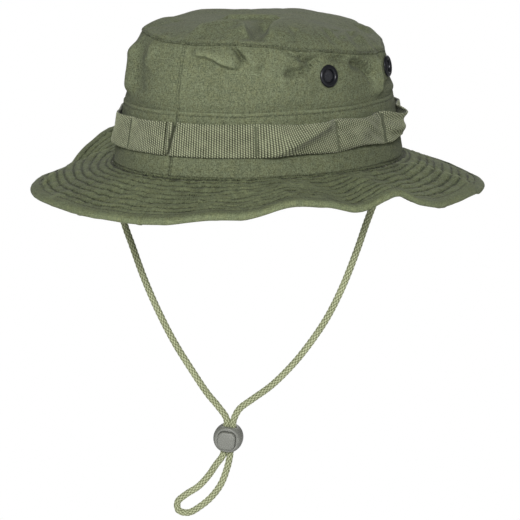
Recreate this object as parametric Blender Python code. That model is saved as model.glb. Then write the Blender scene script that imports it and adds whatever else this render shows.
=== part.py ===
"""Boonie hat with a loop band, screened vent eyelets, a stitched brim and a chin cord with a cord lock.

Origin: centre of the head opening, on the plane where the brim meets the body of the hat.
+Z up, -Y the front of the hat, +X and -X its ears. Angles run round the hat from the front, towards +X.
"""
import math

import bmesh
import bpy
from mathutils import Matrix, Vector

for old in list(bpy.data.objects):
    bpy.data.objects.remove(old, do_unlink=True)

MM = 0.001
GAP = 0.35 * MM

# Head opening: the outer face of the cloth band at the brim seam
HALF_LENGTH = 103.5 * MM
HALF_WIDTH = 85.5 * MM
CLOTH = 1.0 * MM

# Body of the hat: the cloth band, and the wall's outer face as (offset from the outline, height) in mm
BAND_HEIGHT = 37.5 * MM
BAND_LEAN = 6.6 * MM
WALL_FACE = [
    (-1.35, 0.2), (-7.95, 37), (-6.5, 42), (-6.1, 50.5), (-8.6, 68.5), (-11.3, 74.5), (-15.2, 80),
]
WALL_FIXED = 4
WALL_SHARES = (0.5, 0.8, 1.0)

# Height of the tip seam round the hat, as (angle, mm): the soft top sinks towards one ear
TIP_SEAM = [
    (-150, 81), (-60, 82), (-30, 82), (-8, 79.5), (25, 78.3), (45, 77.3), (60, 74), (75, 71.5),
    (96, 68.5), (115, 69.5), (145, 74.5), (175, 79),
]
TIP_TOP = 90.6 * MM
SEAM_STEP = 1.6 * MM

# Brim: three layers, each split at the front and back seams, which sit a little off the middle
BRIM_ROOT = -2.35 * MM
BRIM_REACH = 51.5 * MM
BRIM_TOP = -0.4 * MM
BRIM_CLOTH = 0.7 * MM
BRIM_STIFFENER = 0.6 * MM
BRIM_GAP = 0.3 * MM
SEAM_GAP = 0.4 * MM
SEAM_TURN = 2.5
# lowest height of the brim's edge round the hat, as (angle, mm): a soft brim that dips and lifts
BRIM_EDGE = [
    (-172, -16), (-150, -12.5), (-130, -8), (-113, -3.5), (-102, -2.2), (-95, -6.5), (-88, -16),
    (-80, -20.5), (-60, -20.5), (-28, -20), (-4, -21.6), (14, -21), (24, -17.5), (34, -16.5),
    (44, -9.8), (52, -10.3), (62, -14), (72, -9), (80, -14.5), (89, -20), (104, -21.5),
    (125, -23.6), (146, -25.6), (165, -22),
]

# Binding folded over the brim's edge
BINDING_WIDTH = 6.0 * MM
BINDING_CLOTH = 0.5 * MM

# Sweatband and the tape over the tip seam, inside
SWEATBAND_Z = (-1.5 * MM, 30 * MM)
TAPE_DROP = (4.0 * MM, 0.6 * MM)
TAPE_CLOTH = 0.8 * MM

# Loop band and its bar tacks
WEBBING_Z = (11.5 * MM, 31.5 * MM)
WEBBING_CLOTH = 1.4 * MM
LOOP_STAND_OFF = 2.2 * MM
TACK_ANGLES = (2, 39, 72, 99, 128, 158, 182, 219, 252, 279, 308, 338)
TACK_WIDTH = 2.4 * MM
TACK_THICK = 0.9 * MM

# Vent eyelets
EYELET_Z = 57.5 * MM
EYELET_ANGLES = {"right_front": 70, "right_rear": 109, "left_front": -70, "left_rear": -109}
EYELET_R = 6.9 * MM
BARREL_R = 4.4 * MM
BARREL_BORE_R = 3.7 * MM
WASHER_R = 5.9 * MM

# Cord tabs under the brim, where the cord leaves the hat
TAB_ANGLES = {"left": -69, "right": 96}
TAB_OFFSET = (2 * MM, 14 * MM)
TAB_HALF_ANGLE = 4.5
TAB_THICK = 2.2 * MM

# Cord lock: a round barrel with flat ends, its push button facing the front; depths run from the cord's plane
LOCK_AT = Vector((-12.2, -18.3, -184.3)) * MM
LOCK_TURN = math.radians(27)
LOCK_TILT = math.radians(6)
LOCK_HEIGHT = 15.7 * MM
LOCK_BARREL = [
    (0, -11), (4.2, -11), (7.2, -9.2), (9.0, -5.4), (9.5, -1.5), (9.5, 2.2), (8.9, 5.2), (7.7, 7), (0, 7),
]
CAVITY_BACK = 9.5 * MM
BUTTON_WIDTH = 11.4 * MM
BUTTON_CORNER = 3.8 * MM
BUTTON_DEPTH = (-10 * MM, 4.5 * MM)
BUTTON_SLOT = (-5.4 * MM, 2.4 * MM)
LOCK_FIT = 0.3 * MM
SPRING_R = 3.0 * MM
SPRING_WIRE_R = 0.25 * MM

# Chin cord: left end, down to the lock, round the loop, back up through the lock, right end (mm)
CORD_R = 2.05 * MM
CORD_POINTS = 74
STRAND_OFFSET = 2.25 * MM
STRAND_RUN = (12, 5, -5, -12)
CORD_LEFT = [
    (-87.2, -39.4, -9.5), (-83.6, -41.2, -28), (-78.2, -40.6, -47), (-73.2, -39.6, -60),
    (-64.6, -37.9, -82), (-55.4, -35.1, -103), (-45.2, -31.6, -123), (-34.7, -27.9, -140),
    (-24.4, -23.7, -156), (-18.4, -21.1, -163.5),
]
CORD_LOOP = [
    (-18.7, -22.8, -202.3), (-22.6, -25.6, -209.5), (-28.2, -29.5, -217.0), (-34.9, -34.0, -222.4),
    (-39.3, -37.1, -227.5), (-38.7, -36.9, -233.0), (-33.6, -33.3, -234.6), (-27.0, -28.7, -230.2),
    (-20.7, -24.3, -223.3), (-15.9, -20.9, -214.8), (-12.6, -18.6, -203.5),
]
CORD_RIGHT = [
    (-5.6, -15.2, -165), (2.4, -12.3, -158), (13.0, -7.2, -149), (23.2, -3.1, -138),
    (32.8, 0.9, -125.5), (46.8, 5.8, -103.5), (57.3, 8.4, -82), (66.3, 11.0, -58), (74.0, 11.6, -37),
    (80.6, 11.5, -22.5), (89.4, 11.2, -10),
]


def material(name, colour, roughness, metallic=0.0):
    """A Principled material of one colour."""
    made = bpy.data.materials.new(name)
    made.use_nodes = True
    shader = made.node_tree.nodes["Principled BSDF"]
    shader.inputs["Base Color"].default_value = (*colour, 1.0)
    shader.inputs["Roughness"].default_value = roughness
    shader.inputs["Metallic"].default_value = metallic
    return made


CLOTH_PAINT = material("olive_cloth", (0.150, 0.170, 0.098), 0.92)
LINING_PAINT = material("olive_lining", (0.120, 0.138, 0.080), 0.92)
WEBBING_PAINT = material("webbing", (0.215, 0.235, 0.135), 0.88)
THREAD_PAINT = material("thread", (0.130, 0.145, 0.085), 0.80)
EYELET_PAINT = material("black_enamel", (0.018, 0.020, 0.024), 0.28, 0.6)
SCREEN_PAINT = material("black_screen", (0.012, 0.013, 0.015), 0.60, 0.4)
STIFFENER_PAINT = material("stiffener", (0.300, 0.300, 0.240), 0.95)
CORD_PAINT = material("olive_cord", (0.330, 0.370, 0.185), 0.85)
LOCK_PAINT = material("lock_plastic", (0.215, 0.225, 0.175), 0.42)
SPRING_PAINT = material("spring_steel", (0.550, 0.550, 0.530), 0.30, 1.0)


def add(name, mesh, paint, smooth_angle=None):
    """Put a mesh in the scene as a named object."""
    mesh.materials.clear()
    mesh.materials.append(paint)
    if smooth_angle is not None:
        mesh.shade_smooth()
        mesh.set_sharp_from_angle(angle=math.radians(smooth_angle))
    made = bpy.data.objects.new(name, mesh)
    bpy.context.scene.collection.objects.link(made)
    return made


def mesh_from(name, work):
    """Turn a bmesh into a mesh whose faces point out."""
    bmesh.ops.recalc_face_normals(work, faces=work.faces)
    mesh = bpy.data.meshes.new(name)
    work.to_mesh(mesh)
    work.free()
    return mesh


def outline(angle):
    """Point and outward normal of the head opening's ellipse, at an angle in degrees."""
    turn = math.radians(angle)
    point = Vector((HALF_WIDTH * math.sin(turn), -HALF_LENGTH * math.cos(turn), 0))
    normal = Vector((math.sin(turn) / HALF_WIDTH, -math.cos(turn) / HALF_LENGTH, 0))
    return point, normal.normalized()


def place(angle, offset, height):
    """Point at an offset outside the opening's outline, at a height."""
    point, normal = outline(angle)
    return point + normal * offset + Vector((0, 0, height))


def lean(height):
    """Offset of the cloth band's outer face, which leans in as it rises."""
    return -BAND_LEAN * height / BAND_HEIGHT


def swept(name, sections, closed):
    """Solid through a row of cross-sections, each a list of points in the same order.

    Each side's diagonal starts nearer the hat's axis, so layers of one shape stay evenly apart.
    """
    work = bmesh.new()
    rows = [[work.verts.new(point) for point in section] for section in sections]
    count = len(rows)
    steps = count if closed else count - 1
    for i in range(steps):
        this, after = rows[i], rows[(i + 1) % count]
        for k in range(len(this)):
            low, high = k, (k + 1) % len(this)
            if this[low].co.xy.length > this[high].co.xy.length:
                low, high = high, low
            work.faces.new((this[low], after[low], after[high]))
            work.faces.new((this[low], after[high], this[high]))
    if not closed:
        work.faces.new(rows[0])
        work.faces.new(rows[-1])
    return mesh_from(name, work)


def around(steps):
    """Angles of a full turn in equal steps."""
    return [360 * i / steps for i in range(steps)]


def half_turn(side, steps, seam_at):
    """Angles of one half of the hat, stopping short of the front and back seams."""
    short = math.degrees(SEAM_GAP / 2 / (HALF_WIDTH + seam_at))
    angles = [short] + [180 * i / steps for i in range(1, steps)] + [180 - short]
    return [SEAM_TURN + (a if side == "right" else -a) for a in angles]


def periodic(points, angle):
    """Smooth curve round the hat through (angle, mm) points, at an angle."""
    first = points[0][0]
    angle = (angle - first) % 360 + first
    wrapped = [(points[-1][0] - 360, points[-1][1])] + points
    wrapped += [(turn + 360, value) for turn, value in points[:2]]
    for i in range(1, len(wrapped) - 2):
        if angle <= wrapped[i + 1][0]:
            break
    (a0, h0), (a1, h1), (a2, h2), (a3, h3) = wrapped[i - 1:i + 3]
    span = a2 - a1
    u = (angle - a1) / span
    slope1 = (h2 - h0) / (a2 - a0) * span
    slope2 = (h3 - h1) / (a3 - a1) * span
    value = (2 * u**3 - 3 * u**2 + 1) * h1 + (u**3 - 2 * u**2 + u) * slope1
    value += (3 * u**2 - 2 * u**3) * h2 + (u**3 - u**2) * slope2
    return value * MM


def brim_height(angle, offset):
    """Height of the brim's top face at an offset outside the opening's outline."""
    edge = periodic(BRIM_EDGE, angle) + brim_depth() + GAP + BINDING_CLOTH
    share = (offset - BRIM_ROOT) / (BRIM_REACH - BRIM_ROOT)
    return BRIM_TOP + (edge - BRIM_TOP) * share


def brim_depth():
    """Thickness of the brim's layers together."""
    return 2 * BRIM_CLOTH + BRIM_STIFFENER + 2 * BRIM_GAP


def ring_strip(name, angles, closed, face, thickness, heights):
    """Upright strip of cloth round the hat, outer face at the offset that face(angle, height) gives."""
    sections = []
    for angle in angles:
        outer = [place(angle, face(angle, z), z) for z in heights]
        inner = [place(angle, face(angle, z) - thickness, z) for z in reversed(heights)]
        sections.append(outer + inner)
    return swept(name, sections, closed)


def wall_face(height):
    """Offset of the wall's outer face at a height."""
    points = [(offset * MM, z * MM) for offset, z in WALL_FACE]
    for (o0, z0), (o1, z1) in zip(points, points[1:]):
        if height <= z1:
            return o0 + (o1 - o0) * (height - z0) / (z1 - z0)
    return points[-1][0]


def wall_top(angle):
    """Height of the wall's upper edge, just under the tip seam."""
    return periodic(TIP_SEAM, angle) - SEAM_STEP


def make_tip():
    """Round top panel: a low dome of cloth that meets the wall along the tip seam."""
    work = bmesh.new()
    shares = (1.0, 0.93, 0.8, 0.55, 0.25)
    turns = around(48)
    edges = {}
    for side, drop in (("top", 0.0), ("bottom", CLOTH)):
        rings = []
        for share in shares:
            ring = []
            for angle in turns:
                edge = place(angle, wall_face(wall_top(angle)), periodic(TIP_SEAM, angle))
                height = edge.z + (TIP_TOP - edge.z) * (1 - share**2.6) - drop
                ring.append(work.verts.new((edge.x * share, edge.y * share, height)))
            rings.append(ring)
        for outer, inner in zip(rings, rings[1:]):
            for i in range(len(turns)):
                j = (i + 1) % len(turns)
                work.faces.new((outer[i], outer[j], inner[j], inner[i]))
        centre = work.verts.new((0, 0, TIP_TOP - drop))
        for i in range(len(turns)):
            work.faces.new((rings[-1][i], rings[-1][(i + 1) % len(turns)], centre))
        edges[side] = rings[0]
    top, bottom = edges["top"], edges["bottom"]
    for i in range(len(turns)):
        j = (i + 1) % len(turns)
        work.faces.new((top[i], top[j], bottom[j], bottom[i]))
    add("crown_tip", mesh_from("crown_tip", work), CLOTH_PAINT, 40)


def wall_tilt():
    """Angle by which the wall's face leans back at the eyelets' height."""
    step = 3 * MM
    fall = wall_face(EYELET_Z - step) - wall_face(EYELET_Z + step)
    return math.atan2(fall, 2 * step)


def eyelet_frame(angle):
    """Matrix of an eyelet: local +Z leaves the wall's outer face."""
    _, normal = outline(angle)
    tilt = wall_tilt()
    out = normal * math.cos(tilt) + Vector((0, 0, math.sin(tilt)))
    across = Vector((0, 0, 1)).cross(normal).normalized()
    up = out.cross(across)
    at = place(angle, wall_face(EYELET_Z), EYELET_Z)
    turn = Matrix((across, up, out)).transposed().to_4x4()
    return Matrix.Translation(at) @ turn


def wall_section(angle):
    """Closed section of the wall at an angle: outer face up, inner face down."""
    fixed = [z * MM for _, z in WALL_FACE[:WALL_FIXED]]
    heights = fixed + [fixed[-1] + (wall_top(angle) - fixed[-1]) * share for share in WALL_SHARES]
    outer = [place(angle, wall_face(z), z) for z in heights]
    inner = [place(angle, wall_face(z) - CLOTH, z) for z in reversed(heights)]
    return outer + inner


def make_walls():
    """Upper wall, two panels, each with two eyelet holes."""
    for side in ("left", "right"):
        sections = [wall_section(angle) for angle in half_turn(side, 24, -BAND_LEAN)]
        panel = add(f"crown_wall_{side}", swept(f"crown_wall_{side}", sections, False), CLOTH_PAINT, 40)
        for key, angle in EYELET_ANGLES.items():
            if key.startswith(side):
                cutter = turned(f"{key}_hole", [(0, -6), (4.75, -6), (4.75, 6), (0, 6)], 20)
                tool = add(f"{key}_hole", cutter, CLOTH_PAINT)
                tool.matrix_world = eyelet_frame(angle)
                tool.hide_render = True
                tool.display_type = "WIRE"
                cut = panel.modifiers.new("eyelet_hole", "BOOLEAN")
                cut.operation = "DIFFERENCE"
                cut.solver = "EXACT"
                cut.object = tool


def make_bands():
    """Cloth band over the foot of the wall, two pieces."""
    heights = [0.2 * MM, BAND_HEIGHT]
    for side in ("left", "right"):
        mesh = ring_strip(
            f"crown_band_{side}", half_turn(side, 24, 0), False,
            lambda angle, z: lean(z), CLOTH, heights,
        )
        add(f"crown_band_{side}", mesh, CLOTH_PAINT, 40)


def make_brim():
    """Upper cloth, stiffener and lower cloth of the brim, each in two halves."""
    layers = {
        "brim_upper": (0.0, BRIM_CLOTH, CLOTH_PAINT),
        "brim_stiffener": (BRIM_CLOTH + BRIM_GAP, BRIM_STIFFENER, STIFFENER_PAINT),
        "brim_lower": (BRIM_CLOTH + BRIM_STIFFENER + 2 * BRIM_GAP, BRIM_CLOTH, LINING_PAINT),
    }
    inner = BRIM_REACH - BINDING_WIDTH
    offsets = [BRIM_ROOT + (inner - BRIM_ROOT) * share for share in (0.0, 0.33, 0.67, 1.0)] + [BRIM_REACH]
    for layer, (drop, thick, paint) in layers.items():
        for side in ("left", "right"):
            sections = []
            for angle in half_turn(side, 30, 0):
                top = [place(angle, d, brim_height(angle, d) - drop) for d in offsets]
                low = [point - Vector((0, 0, thick)) for point in reversed(top)]
                sections.append(top + low)
            add(f"{layer}_{side}", swept(f"{layer}_{side}", sections, False), paint, 40)


def make_binding():
    """Binding tape folded over the brim's edge, one strip right round."""
    sections = []
    inside = BRIM_REACH - BINDING_WIDTH
    for angle in [SEAM_TURN + turn for turn in around(60)]:
        over = [(inside, GAP + BINDING_CLOTH), (BRIM_REACH + GAP + BINDING_CLOTH, GAP + BINDING_CLOTH)]
        top = [place(angle, d, brim_height(angle, d) + up) for d, up in over]
        low = [p - Vector((0, 0, brim_depth() + 2 * GAP + 2 * BINDING_CLOTH)) for p in reversed(top)]
        fold = [(inside, GAP), (BRIM_REACH + GAP, GAP)]
        top_in = [place(angle, d, brim_height(angle, d) + up) for d, up in fold]
        low_in = [p - Vector((0, 0, brim_depth() + 2 * GAP)) for p in reversed(top_in)]
        sections.append(top + low + list(reversed(low_in)) + list(reversed(top_in)))
    add("brim_binding", swept("brim_binding", sections, True), CLOTH_PAINT, 40)


def make_sweatband():
    """Sweatband inside the foot of the hat."""
    face = lambda angle, z: lean(max(z, 0)) - 2 * CLOTH - 2 * GAP
    mesh = ring_strip("sweatband", around(48), True, face, CLOTH, list(SWEATBAND_Z))
    add("sweatband", mesh, LINING_PAINT, 40)


def make_seam_tape():
    """Tape inside, over the allowance of the tip seam."""
    sections = []
    for angle in around(48):
        low, high = (wall_top(angle) - drop for drop in TAPE_DROP)
        face = wall_face(high) - CLOTH - 2 * GAP
        corners = ((face, low), (face, high), (face - TAPE_CLOTH, high), (face - TAPE_CLOTH, low))
        sections.append([place(angle, offset, height) for offset, height in corners])
    add("tip_seam_tape", swept("tip_seam_tape", sections, True), LINING_PAINT, 40)


def loop_share(angle):
    """How far a place on the loop band is between two tacks: 0 at a tack, 1 midway."""
    tacks = list(TACK_ANGLES) + [TACK_ANGLES[0] + 360]
    angle = (angle - tacks[0]) % 360 + tacks[0]
    for low, high in zip(tacks, tacks[1:]):
        if low <= angle <= high:
            return math.sin(math.pi * (angle - low) / (high - low)) ** 2
    return 0.0


def webbing_face(angle, height):
    """Offset of the loop band's outer face."""
    return lean(height) + GAP + WEBBING_CLOTH + LOOP_STAND_OFF * loop_share(angle)


def make_webbing():
    """Loop band: one strip of webbing right round, standing off between its tacks."""
    tacks = list(TACK_ANGLES) + [TACK_ANGLES[0] + 360]
    angles = []
    for low, high in zip(tacks, tacks[1:]):
        angles += [low + (high - low) * i / 6 for i in range(6)]
    mesh = ring_strip("webbing_band", angles, True, webbing_face, WEBBING_CLOTH, list(WEBBING_Z))
    add("webbing_band", mesh, WEBBING_PAINT, 40)


def make_tacks():
    """Bar tacks across the loop band."""
    middle = sum(WEBBING_Z) / 2
    reach = (WEBBING_Z[1] - WEBBING_Z[0]) / 2 - 1.0 * MM
    for number, angle in enumerate(TACK_ANGLES, 1):
        half = math.degrees(TACK_WIDTH / 2 / HALF_WIDTH)
        face = lambda turn, z: webbing_face(angle, z) + GAP + TACK_THICK
        mesh = ring_strip(
            f"webbing_tack_{number:02d}", [angle - half, angle, angle + half], False, face, TACK_THICK,
            [middle - reach, middle + reach],
        )
        add(f"webbing_tack_{number:02d}", mesh, THREAD_PAINT)


def turned(name, profile, steps):
    """Solid of revolution about Z from (radius, height) points in mm; a radius of 0 closes it."""
    work = bmesh.new()
    rows = []
    for radius, height in profile:
        if radius == 0:
            rows.append([work.verts.new((0, 0, height * MM))])
            continue
        ring = []
        for turn in around(steps):
            angle = math.radians(turn)
            spot = (radius * MM * math.cos(angle), radius * MM * math.sin(angle), height * MM)
            ring.append(work.verts.new(spot))
        rows.append(ring)
    hollow = profile[0][0] > 0
    pairs = list(zip(rows, rows[1:])) + ([(rows[-1], rows[0])] if hollow else [])
    for this, after in pairs:
        for i in range(steps):
            j = (i + 1) % steps
            if len(this) == 1:
                work.faces.new((this[0], after[i], after[j]))
            elif len(after) == 1:
                work.faces.new((this[i], after[0], this[j]))
            else:
                work.faces.new((this[i], after[i], after[j], this[j]))
    return mesh_from(name, work)


def make_eyelets():
    """Vent eyelets: a pressed shell outside, a washer inside and a screen in the bore."""
    rim, barrel, bore = EYELET_R / MM, BARREL_R / MM, BARREL_BORE_R / MM
    shell = [
        (bore, -3.2), (barrel, -3.2), (barrel, 0.55), (rim, 0.55), (rim, 0.8), (rim - 0.5, 1.55),
        (rim - 1.5, 2.0), (rim - 2.4, 1.75), (bore, 0.4),
    ]
    washer = [(barrel + 0.3, -2.35), (WASHER_R / MM, -2.2), (WASHER_R / MM, -1.75), (barrel + 0.3, -1.75)]
    screen = [(0, -1.1), (bore - 0.3, -1.1), (bore - 0.3, -0.7), (0, -0.7)]
    for key, angle in EYELET_ANGLES.items():
        spot = eyelet_frame(angle)
        pieces = {
            "shell": (shell, EYELET_PAINT),
            "washer": (washer, EYELET_PAINT),
            "screen": (screen, SCREEN_PAINT),
        }
        for kind, (profile, paint) in pieces.items():
            name = f"eyelet_{kind}_{key}"
            piece = add(name, turned(name, profile, 18), paint, 35)
            piece.matrix_world = spot


def make_tabs():
    """Folded cloth tabs under the brim, that hold the cord's ends."""
    for side, middle in TAB_ANGLES.items():
        sections = []
        for angle in (middle - TAB_HALF_ANGLE, middle, middle + TAB_HALF_ANGLE):
            drop = brim_depth() + GAP + 0.15 * MM
            top = [place(angle, d, brim_height(angle, d) - drop) for d in TAB_OFFSET]
            low = [point - Vector((0, 0, TAB_THICK)) for point in reversed(top)]
            sections.append(top + low)
        add(f"cord_tab_{side}", swept(f"cord_tab_{side}", sections, False), LINING_PAINT)


def lock_matrix():
    """Where the cord lock hangs, how it is turned, and how far it tips to one side."""
    turn = Matrix.Rotation(LOCK_TURN, 4, "Z") @ Matrix.Rotation(LOCK_TILT, 4, "Y")
    return Matrix.Translation(LOCK_AT) @ turn


def rounded_square(half, corner, steps):
    """Outline of a square with round corners, as (across, up) points."""
    points = []
    for quarter in range(4):
        for step in range(steps + 1):
            angle = math.radians(90 * quarter + 90 * step / steps)
            middle = math.radians(90 * quarter + 45)
            across = math.copysign(half - corner, math.cos(middle)) + corner * math.cos(angle)
            up = math.copysign(half - corner, math.sin(middle)) + corner * math.sin(angle)
            points.append((across, up))
    return points


def button_block(name, width, corner, depth, edge):
    """Square bar with round corners along Y, its front edge turned over by a small radius."""
    sections = []
    front, back = depth
    for y, inset in ((front, edge), (front + edge * 0.35, edge * 0.3), (front + edge, 0), (back, 0)):
        ring = rounded_square(width / 2 - inset, corner - inset, 4)
        sections.append([Vector((across, y, up)) for across, up in ring])
    return swept(name, sections, False)


def block(name, width, depth, height):
    """Plain block: width on X and height on Z about the origin, depth range on Y."""
    work = bmesh.new()
    bmesh.ops.create_cube(work, size=1)
    for vert in work.verts:
        vert.co.x *= width
        vert.co.y = depth[0] if vert.co.y < 0 else depth[1]
        vert.co.z = vert.co.z * height
    return mesh_from(name, work)


def cut_lock(target, name, mesh, operation="DIFFERENCE"):
    """Cut a piece of the cord lock with a hidden block."""
    tool = add(name, mesh, LOCK_PAINT)
    tool.matrix_world = lock_matrix()
    tool.hide_render = True
    tool.display_type = "WIRE"
    cut = target.modifiers.new(name, "BOOLEAN")
    cut.operation = operation
    cut.solver = "EXACT"
    cut.object = tool


def make_lock():
    """Cord lock: round body with a cavity and a cord slot, and the push button through it."""
    barrel = turned("lock_body", LOCK_BARREL, 28)
    barrel.transform(Matrix.Rotation(math.radians(90), 4, "X"))
    body = add("lock_body", barrel, LOCK_PAINT, 40)
    body.matrix_world = lock_matrix()
    wide = 3 * LOCK_HEIGHT
    cut_lock(body, "lock_ends", block("lock_ends", wide, (-wide, wide), LOCK_HEIGHT), "INTERSECT")
    room = button_block(
        "lock_cavity", BUTTON_WIDTH + 2 * LOCK_FIT, BUTTON_CORNER + LOCK_FIT,
        (2 * BUTTON_DEPTH[0], CAVITY_BACK), LOCK_FIT,
    )
    cut_lock(body, "lock_cavity", room)
    gap = CORD_R + 0.8 * MM
    across = 2 * (STRAND_OFFSET + CORD_R + 0.8 * MM)
    cut_lock(body, "lock_cord_slot", block("lock_cord_slot", across, (-gap, gap), 2 * LOCK_HEIGHT))

    button = add(
        "lock_plunger", button_block("lock_plunger", BUTTON_WIDTH, BUTTON_CORNER, BUTTON_DEPTH, 0.8 * MM),
        LOCK_PAINT, 40,
    )
    button.matrix_world = lock_matrix()
    across = 2 * (STRAND_OFFSET + CORD_R + 0.35 * MM)
    cut_lock(button, "button_cord_slot", block("button_cord_slot", across, BUTTON_SLOT, 2 * LOCK_HEIGHT))


def smooth_path(points, count):
    """Evenly spaced points on a smooth curve through the given points."""
    dense = []
    for i in range(len(points) - 1):
        p1, p2 = points[i], points[i + 1]
        p0 = points[i - 1] if i else p1 + (p1 - p2)
        p3 = points[i + 2] if i + 2 < len(points) else p2 + (p2 - p1)
        knots = [0.0]
        for a, b in ((p0, p1), (p1, p2), (p2, p3)):
            knots.append(knots[-1] + max((b - a).length, 1e-6) ** 0.5)
        t0, t1, t2, t3 = knots
        for step in range(24):
            t = t1 + (t2 - t1) * step / 24
            a1 = p0 * ((t1 - t) / (t1 - t0)) + p1 * ((t - t0) / (t1 - t0))
            a2 = p1 * ((t2 - t) / (t2 - t1)) + p2 * ((t - t1) / (t2 - t1))
            a3 = p2 * ((t3 - t) / (t3 - t2)) + p3 * ((t - t2) / (t3 - t2))
            b1 = a1 * ((t2 - t) / (t2 - t0)) + a2 * ((t - t0) / (t2 - t0))
            b2 = a2 * ((t3 - t) / (t3 - t1)) + a3 * ((t - t1) / (t3 - t1))
            dense.append(b1 * ((t2 - t) / (t2 - t1)) + b2 * ((t - t1) / (t2 - t1)))
    dense.append(points[-1].copy())
    lengths = [0.0]
    for a, b in zip(dense, dense[1:]):
        lengths.append(lengths[-1] + (b - a).length)
    spaced, i = [], 0
    for step in range(count):
        want = lengths[-1] * step / (count - 1)
        while i < len(dense) - 2 and lengths[i + 1] < want:
            i += 1
        share = (want - lengths[i]) / (lengths[i + 1] - lengths[i])
        spaced.append(dense[i].lerp(dense[i + 1], min(share, 1.0)))
    return spaced


def tube(name, points, radius, resolution, paint):
    """Tube along a line of points, with closed ends."""
    curve = bpy.data.curves.new(name, "CURVE")
    curve.dimensions = "3D"
    curve.bevel_depth = radius
    curve.bevel_resolution = resolution
    curve.use_fill_caps = True
    line = curve.splines.new("POLY")
    line.points.add(len(points) - 1)
    for slot, point in zip(line.points, points):
        slot.co = (*point, 1.0)
        slot.radius = 1.0
    line.use_smooth = True
    curve.materials.append(paint)
    made = bpy.data.objects.new(name, curve)
    bpy.context.scene.collection.objects.link(made)
    return made


def strand(side):
    """Straight run of one strand through the lock, from its top to its bottom."""
    return [lock_matrix() @ Vector((side * STRAND_OFFSET, 0, along * MM)) for along in STRAND_RUN]


def cord_route():
    """Points of the cord's middle line from its left end to its right end."""
    left, loop, right = ([Vector(point) * MM for point in run] for run in (CORD_LEFT, CORD_LOOP, CORD_RIGHT))
    return left + strand(-1) + loop + strand(1)[::-1] + right


def make_cord():
    """Chin cord: one length of braided cord from tab to tab, doubled below the lock."""
    tube("chin_cord", smooth_path(cord_route(), CORD_POINTS), CORD_R, 3, CORD_PAINT)


def make_spring():
    """Coil spring between the push button and the back of its cavity."""
    start = BUTTON_DEPTH[1] + LOCK_FIT + SPRING_WIRE_R
    end = CAVITY_BACK - LOCK_FIT - SPRING_WIRE_R
    turns, steps = 2.5, 30
    points = []
    for i in range(steps + 1):
        angle = 2 * math.pi * turns * i / steps
        along = start + (end - start) * i / steps
        points.append(Vector((SPRING_R * math.cos(angle), along, SPRING_R * math.sin(angle))))
    spring = tube("lock_spring", points, SPRING_WIRE_R, 2, SPRING_PAINT)
    spring.matrix_world = lock_matrix()


make_tip()
make_walls()
make_bands()
make_brim()
make_binding()
make_sweatband()
make_seam_tape()
make_webbing()
make_tacks()
make_eyelets()
make_tabs()
make_lock()
make_spring()
make_cord()
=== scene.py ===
import math

import bmesh
import bpy
import numpy as np
from mathutils import Matrix, Vector


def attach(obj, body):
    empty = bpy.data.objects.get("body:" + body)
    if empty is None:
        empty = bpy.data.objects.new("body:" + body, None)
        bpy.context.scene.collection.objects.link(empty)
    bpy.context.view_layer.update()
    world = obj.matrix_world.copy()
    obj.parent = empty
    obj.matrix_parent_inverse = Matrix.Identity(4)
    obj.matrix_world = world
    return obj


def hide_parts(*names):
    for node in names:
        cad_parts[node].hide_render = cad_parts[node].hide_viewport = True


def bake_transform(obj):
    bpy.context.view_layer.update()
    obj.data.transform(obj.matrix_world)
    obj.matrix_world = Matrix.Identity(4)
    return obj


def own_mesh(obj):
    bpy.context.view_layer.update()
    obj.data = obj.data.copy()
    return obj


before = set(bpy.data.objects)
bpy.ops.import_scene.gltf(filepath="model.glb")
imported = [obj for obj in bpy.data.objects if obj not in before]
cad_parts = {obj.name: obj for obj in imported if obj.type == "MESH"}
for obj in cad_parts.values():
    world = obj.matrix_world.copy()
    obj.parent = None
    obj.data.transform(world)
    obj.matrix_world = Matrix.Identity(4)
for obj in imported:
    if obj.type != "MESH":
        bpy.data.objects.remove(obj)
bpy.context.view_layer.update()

# Lengths are in mm and angles in degrees round the hat, from its front towards +X; meshes are in metres.
MM = 0.001
GAP = 0.35
SIDES = ("left", "right")

# The hat's own shape, as its CAD has it
HALF_LENGTH = 103.5
HALF_WIDTH = 85.5
BAND_HEIGHT = 37.5
BAND_LEAN = 6.6
WALL_FACE = np.array([
    (-1.35, 0.2), (-7.95, 37), (-6.5, 42), (-6.1, 50.5), (-8.6, 68.5), (-11.3, 74.5), (-15.2, 80),
])
TIP_SEAM = [
    (-150, 81), (-60, 82), (-30, 82), (-8, 79.5), (25, 78.3), (45, 77.3), (60, 74), (75, 71.5),
    (96, 68), (115, 67.5), (136, 69), (156, 73.5), (175, 78),
]
TIP_TOP = 90.6
SEAM_STEP = 1.6
BRIM_ROOT = -2.35
BRIM_REACH = 51.5
BRIM_TOP = -0.4
BRIM_DEPTH = 2.6
BRIM_CLOTH = 0.7
BRIM_STIFFENER = 0.6
BINDING_WIDTH = 6.0
BINDING_CLOTH = 0.5
BRIM_EDGE = [
    (-172, -16), (-150, -12.5), (-130, -8), (-113, -3.5), (-102, -2.2), (-95, -6.5), (-88, -16),
    (-80, -20.5), (-60, -20.5), (-28, -20), (-4, -21.6), (14, -21), (24, -17.5), (34, -16.5),
    (44, -9.8), (52, -10.3), (62, -14), (72, -9), (80, -14.5), (89, -20), (104, -21.5),
    (125, -23.6), (146, -25.6), (165, -22),
]
WEBBING_Z = (11.5, 31.5)
WEBBING_CLOTH = 1.4
TACK_ANGLES = (2, 39, 72, 99, 128, 158, 182, 219, 252, 279, 308, 338)
EYELET_Z = 57.5
EYELET_ANGLES = {"right_front": 70, "right_rear": 109, "left_front": -70, "left_rear": -109}
TAB_ANGLES = {"left": -69, "right": 96}
TAB_OFFSET = (2, 14)
TAB_HALF_ANGLE = 4.5
TAB_THICK = 2.2
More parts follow.
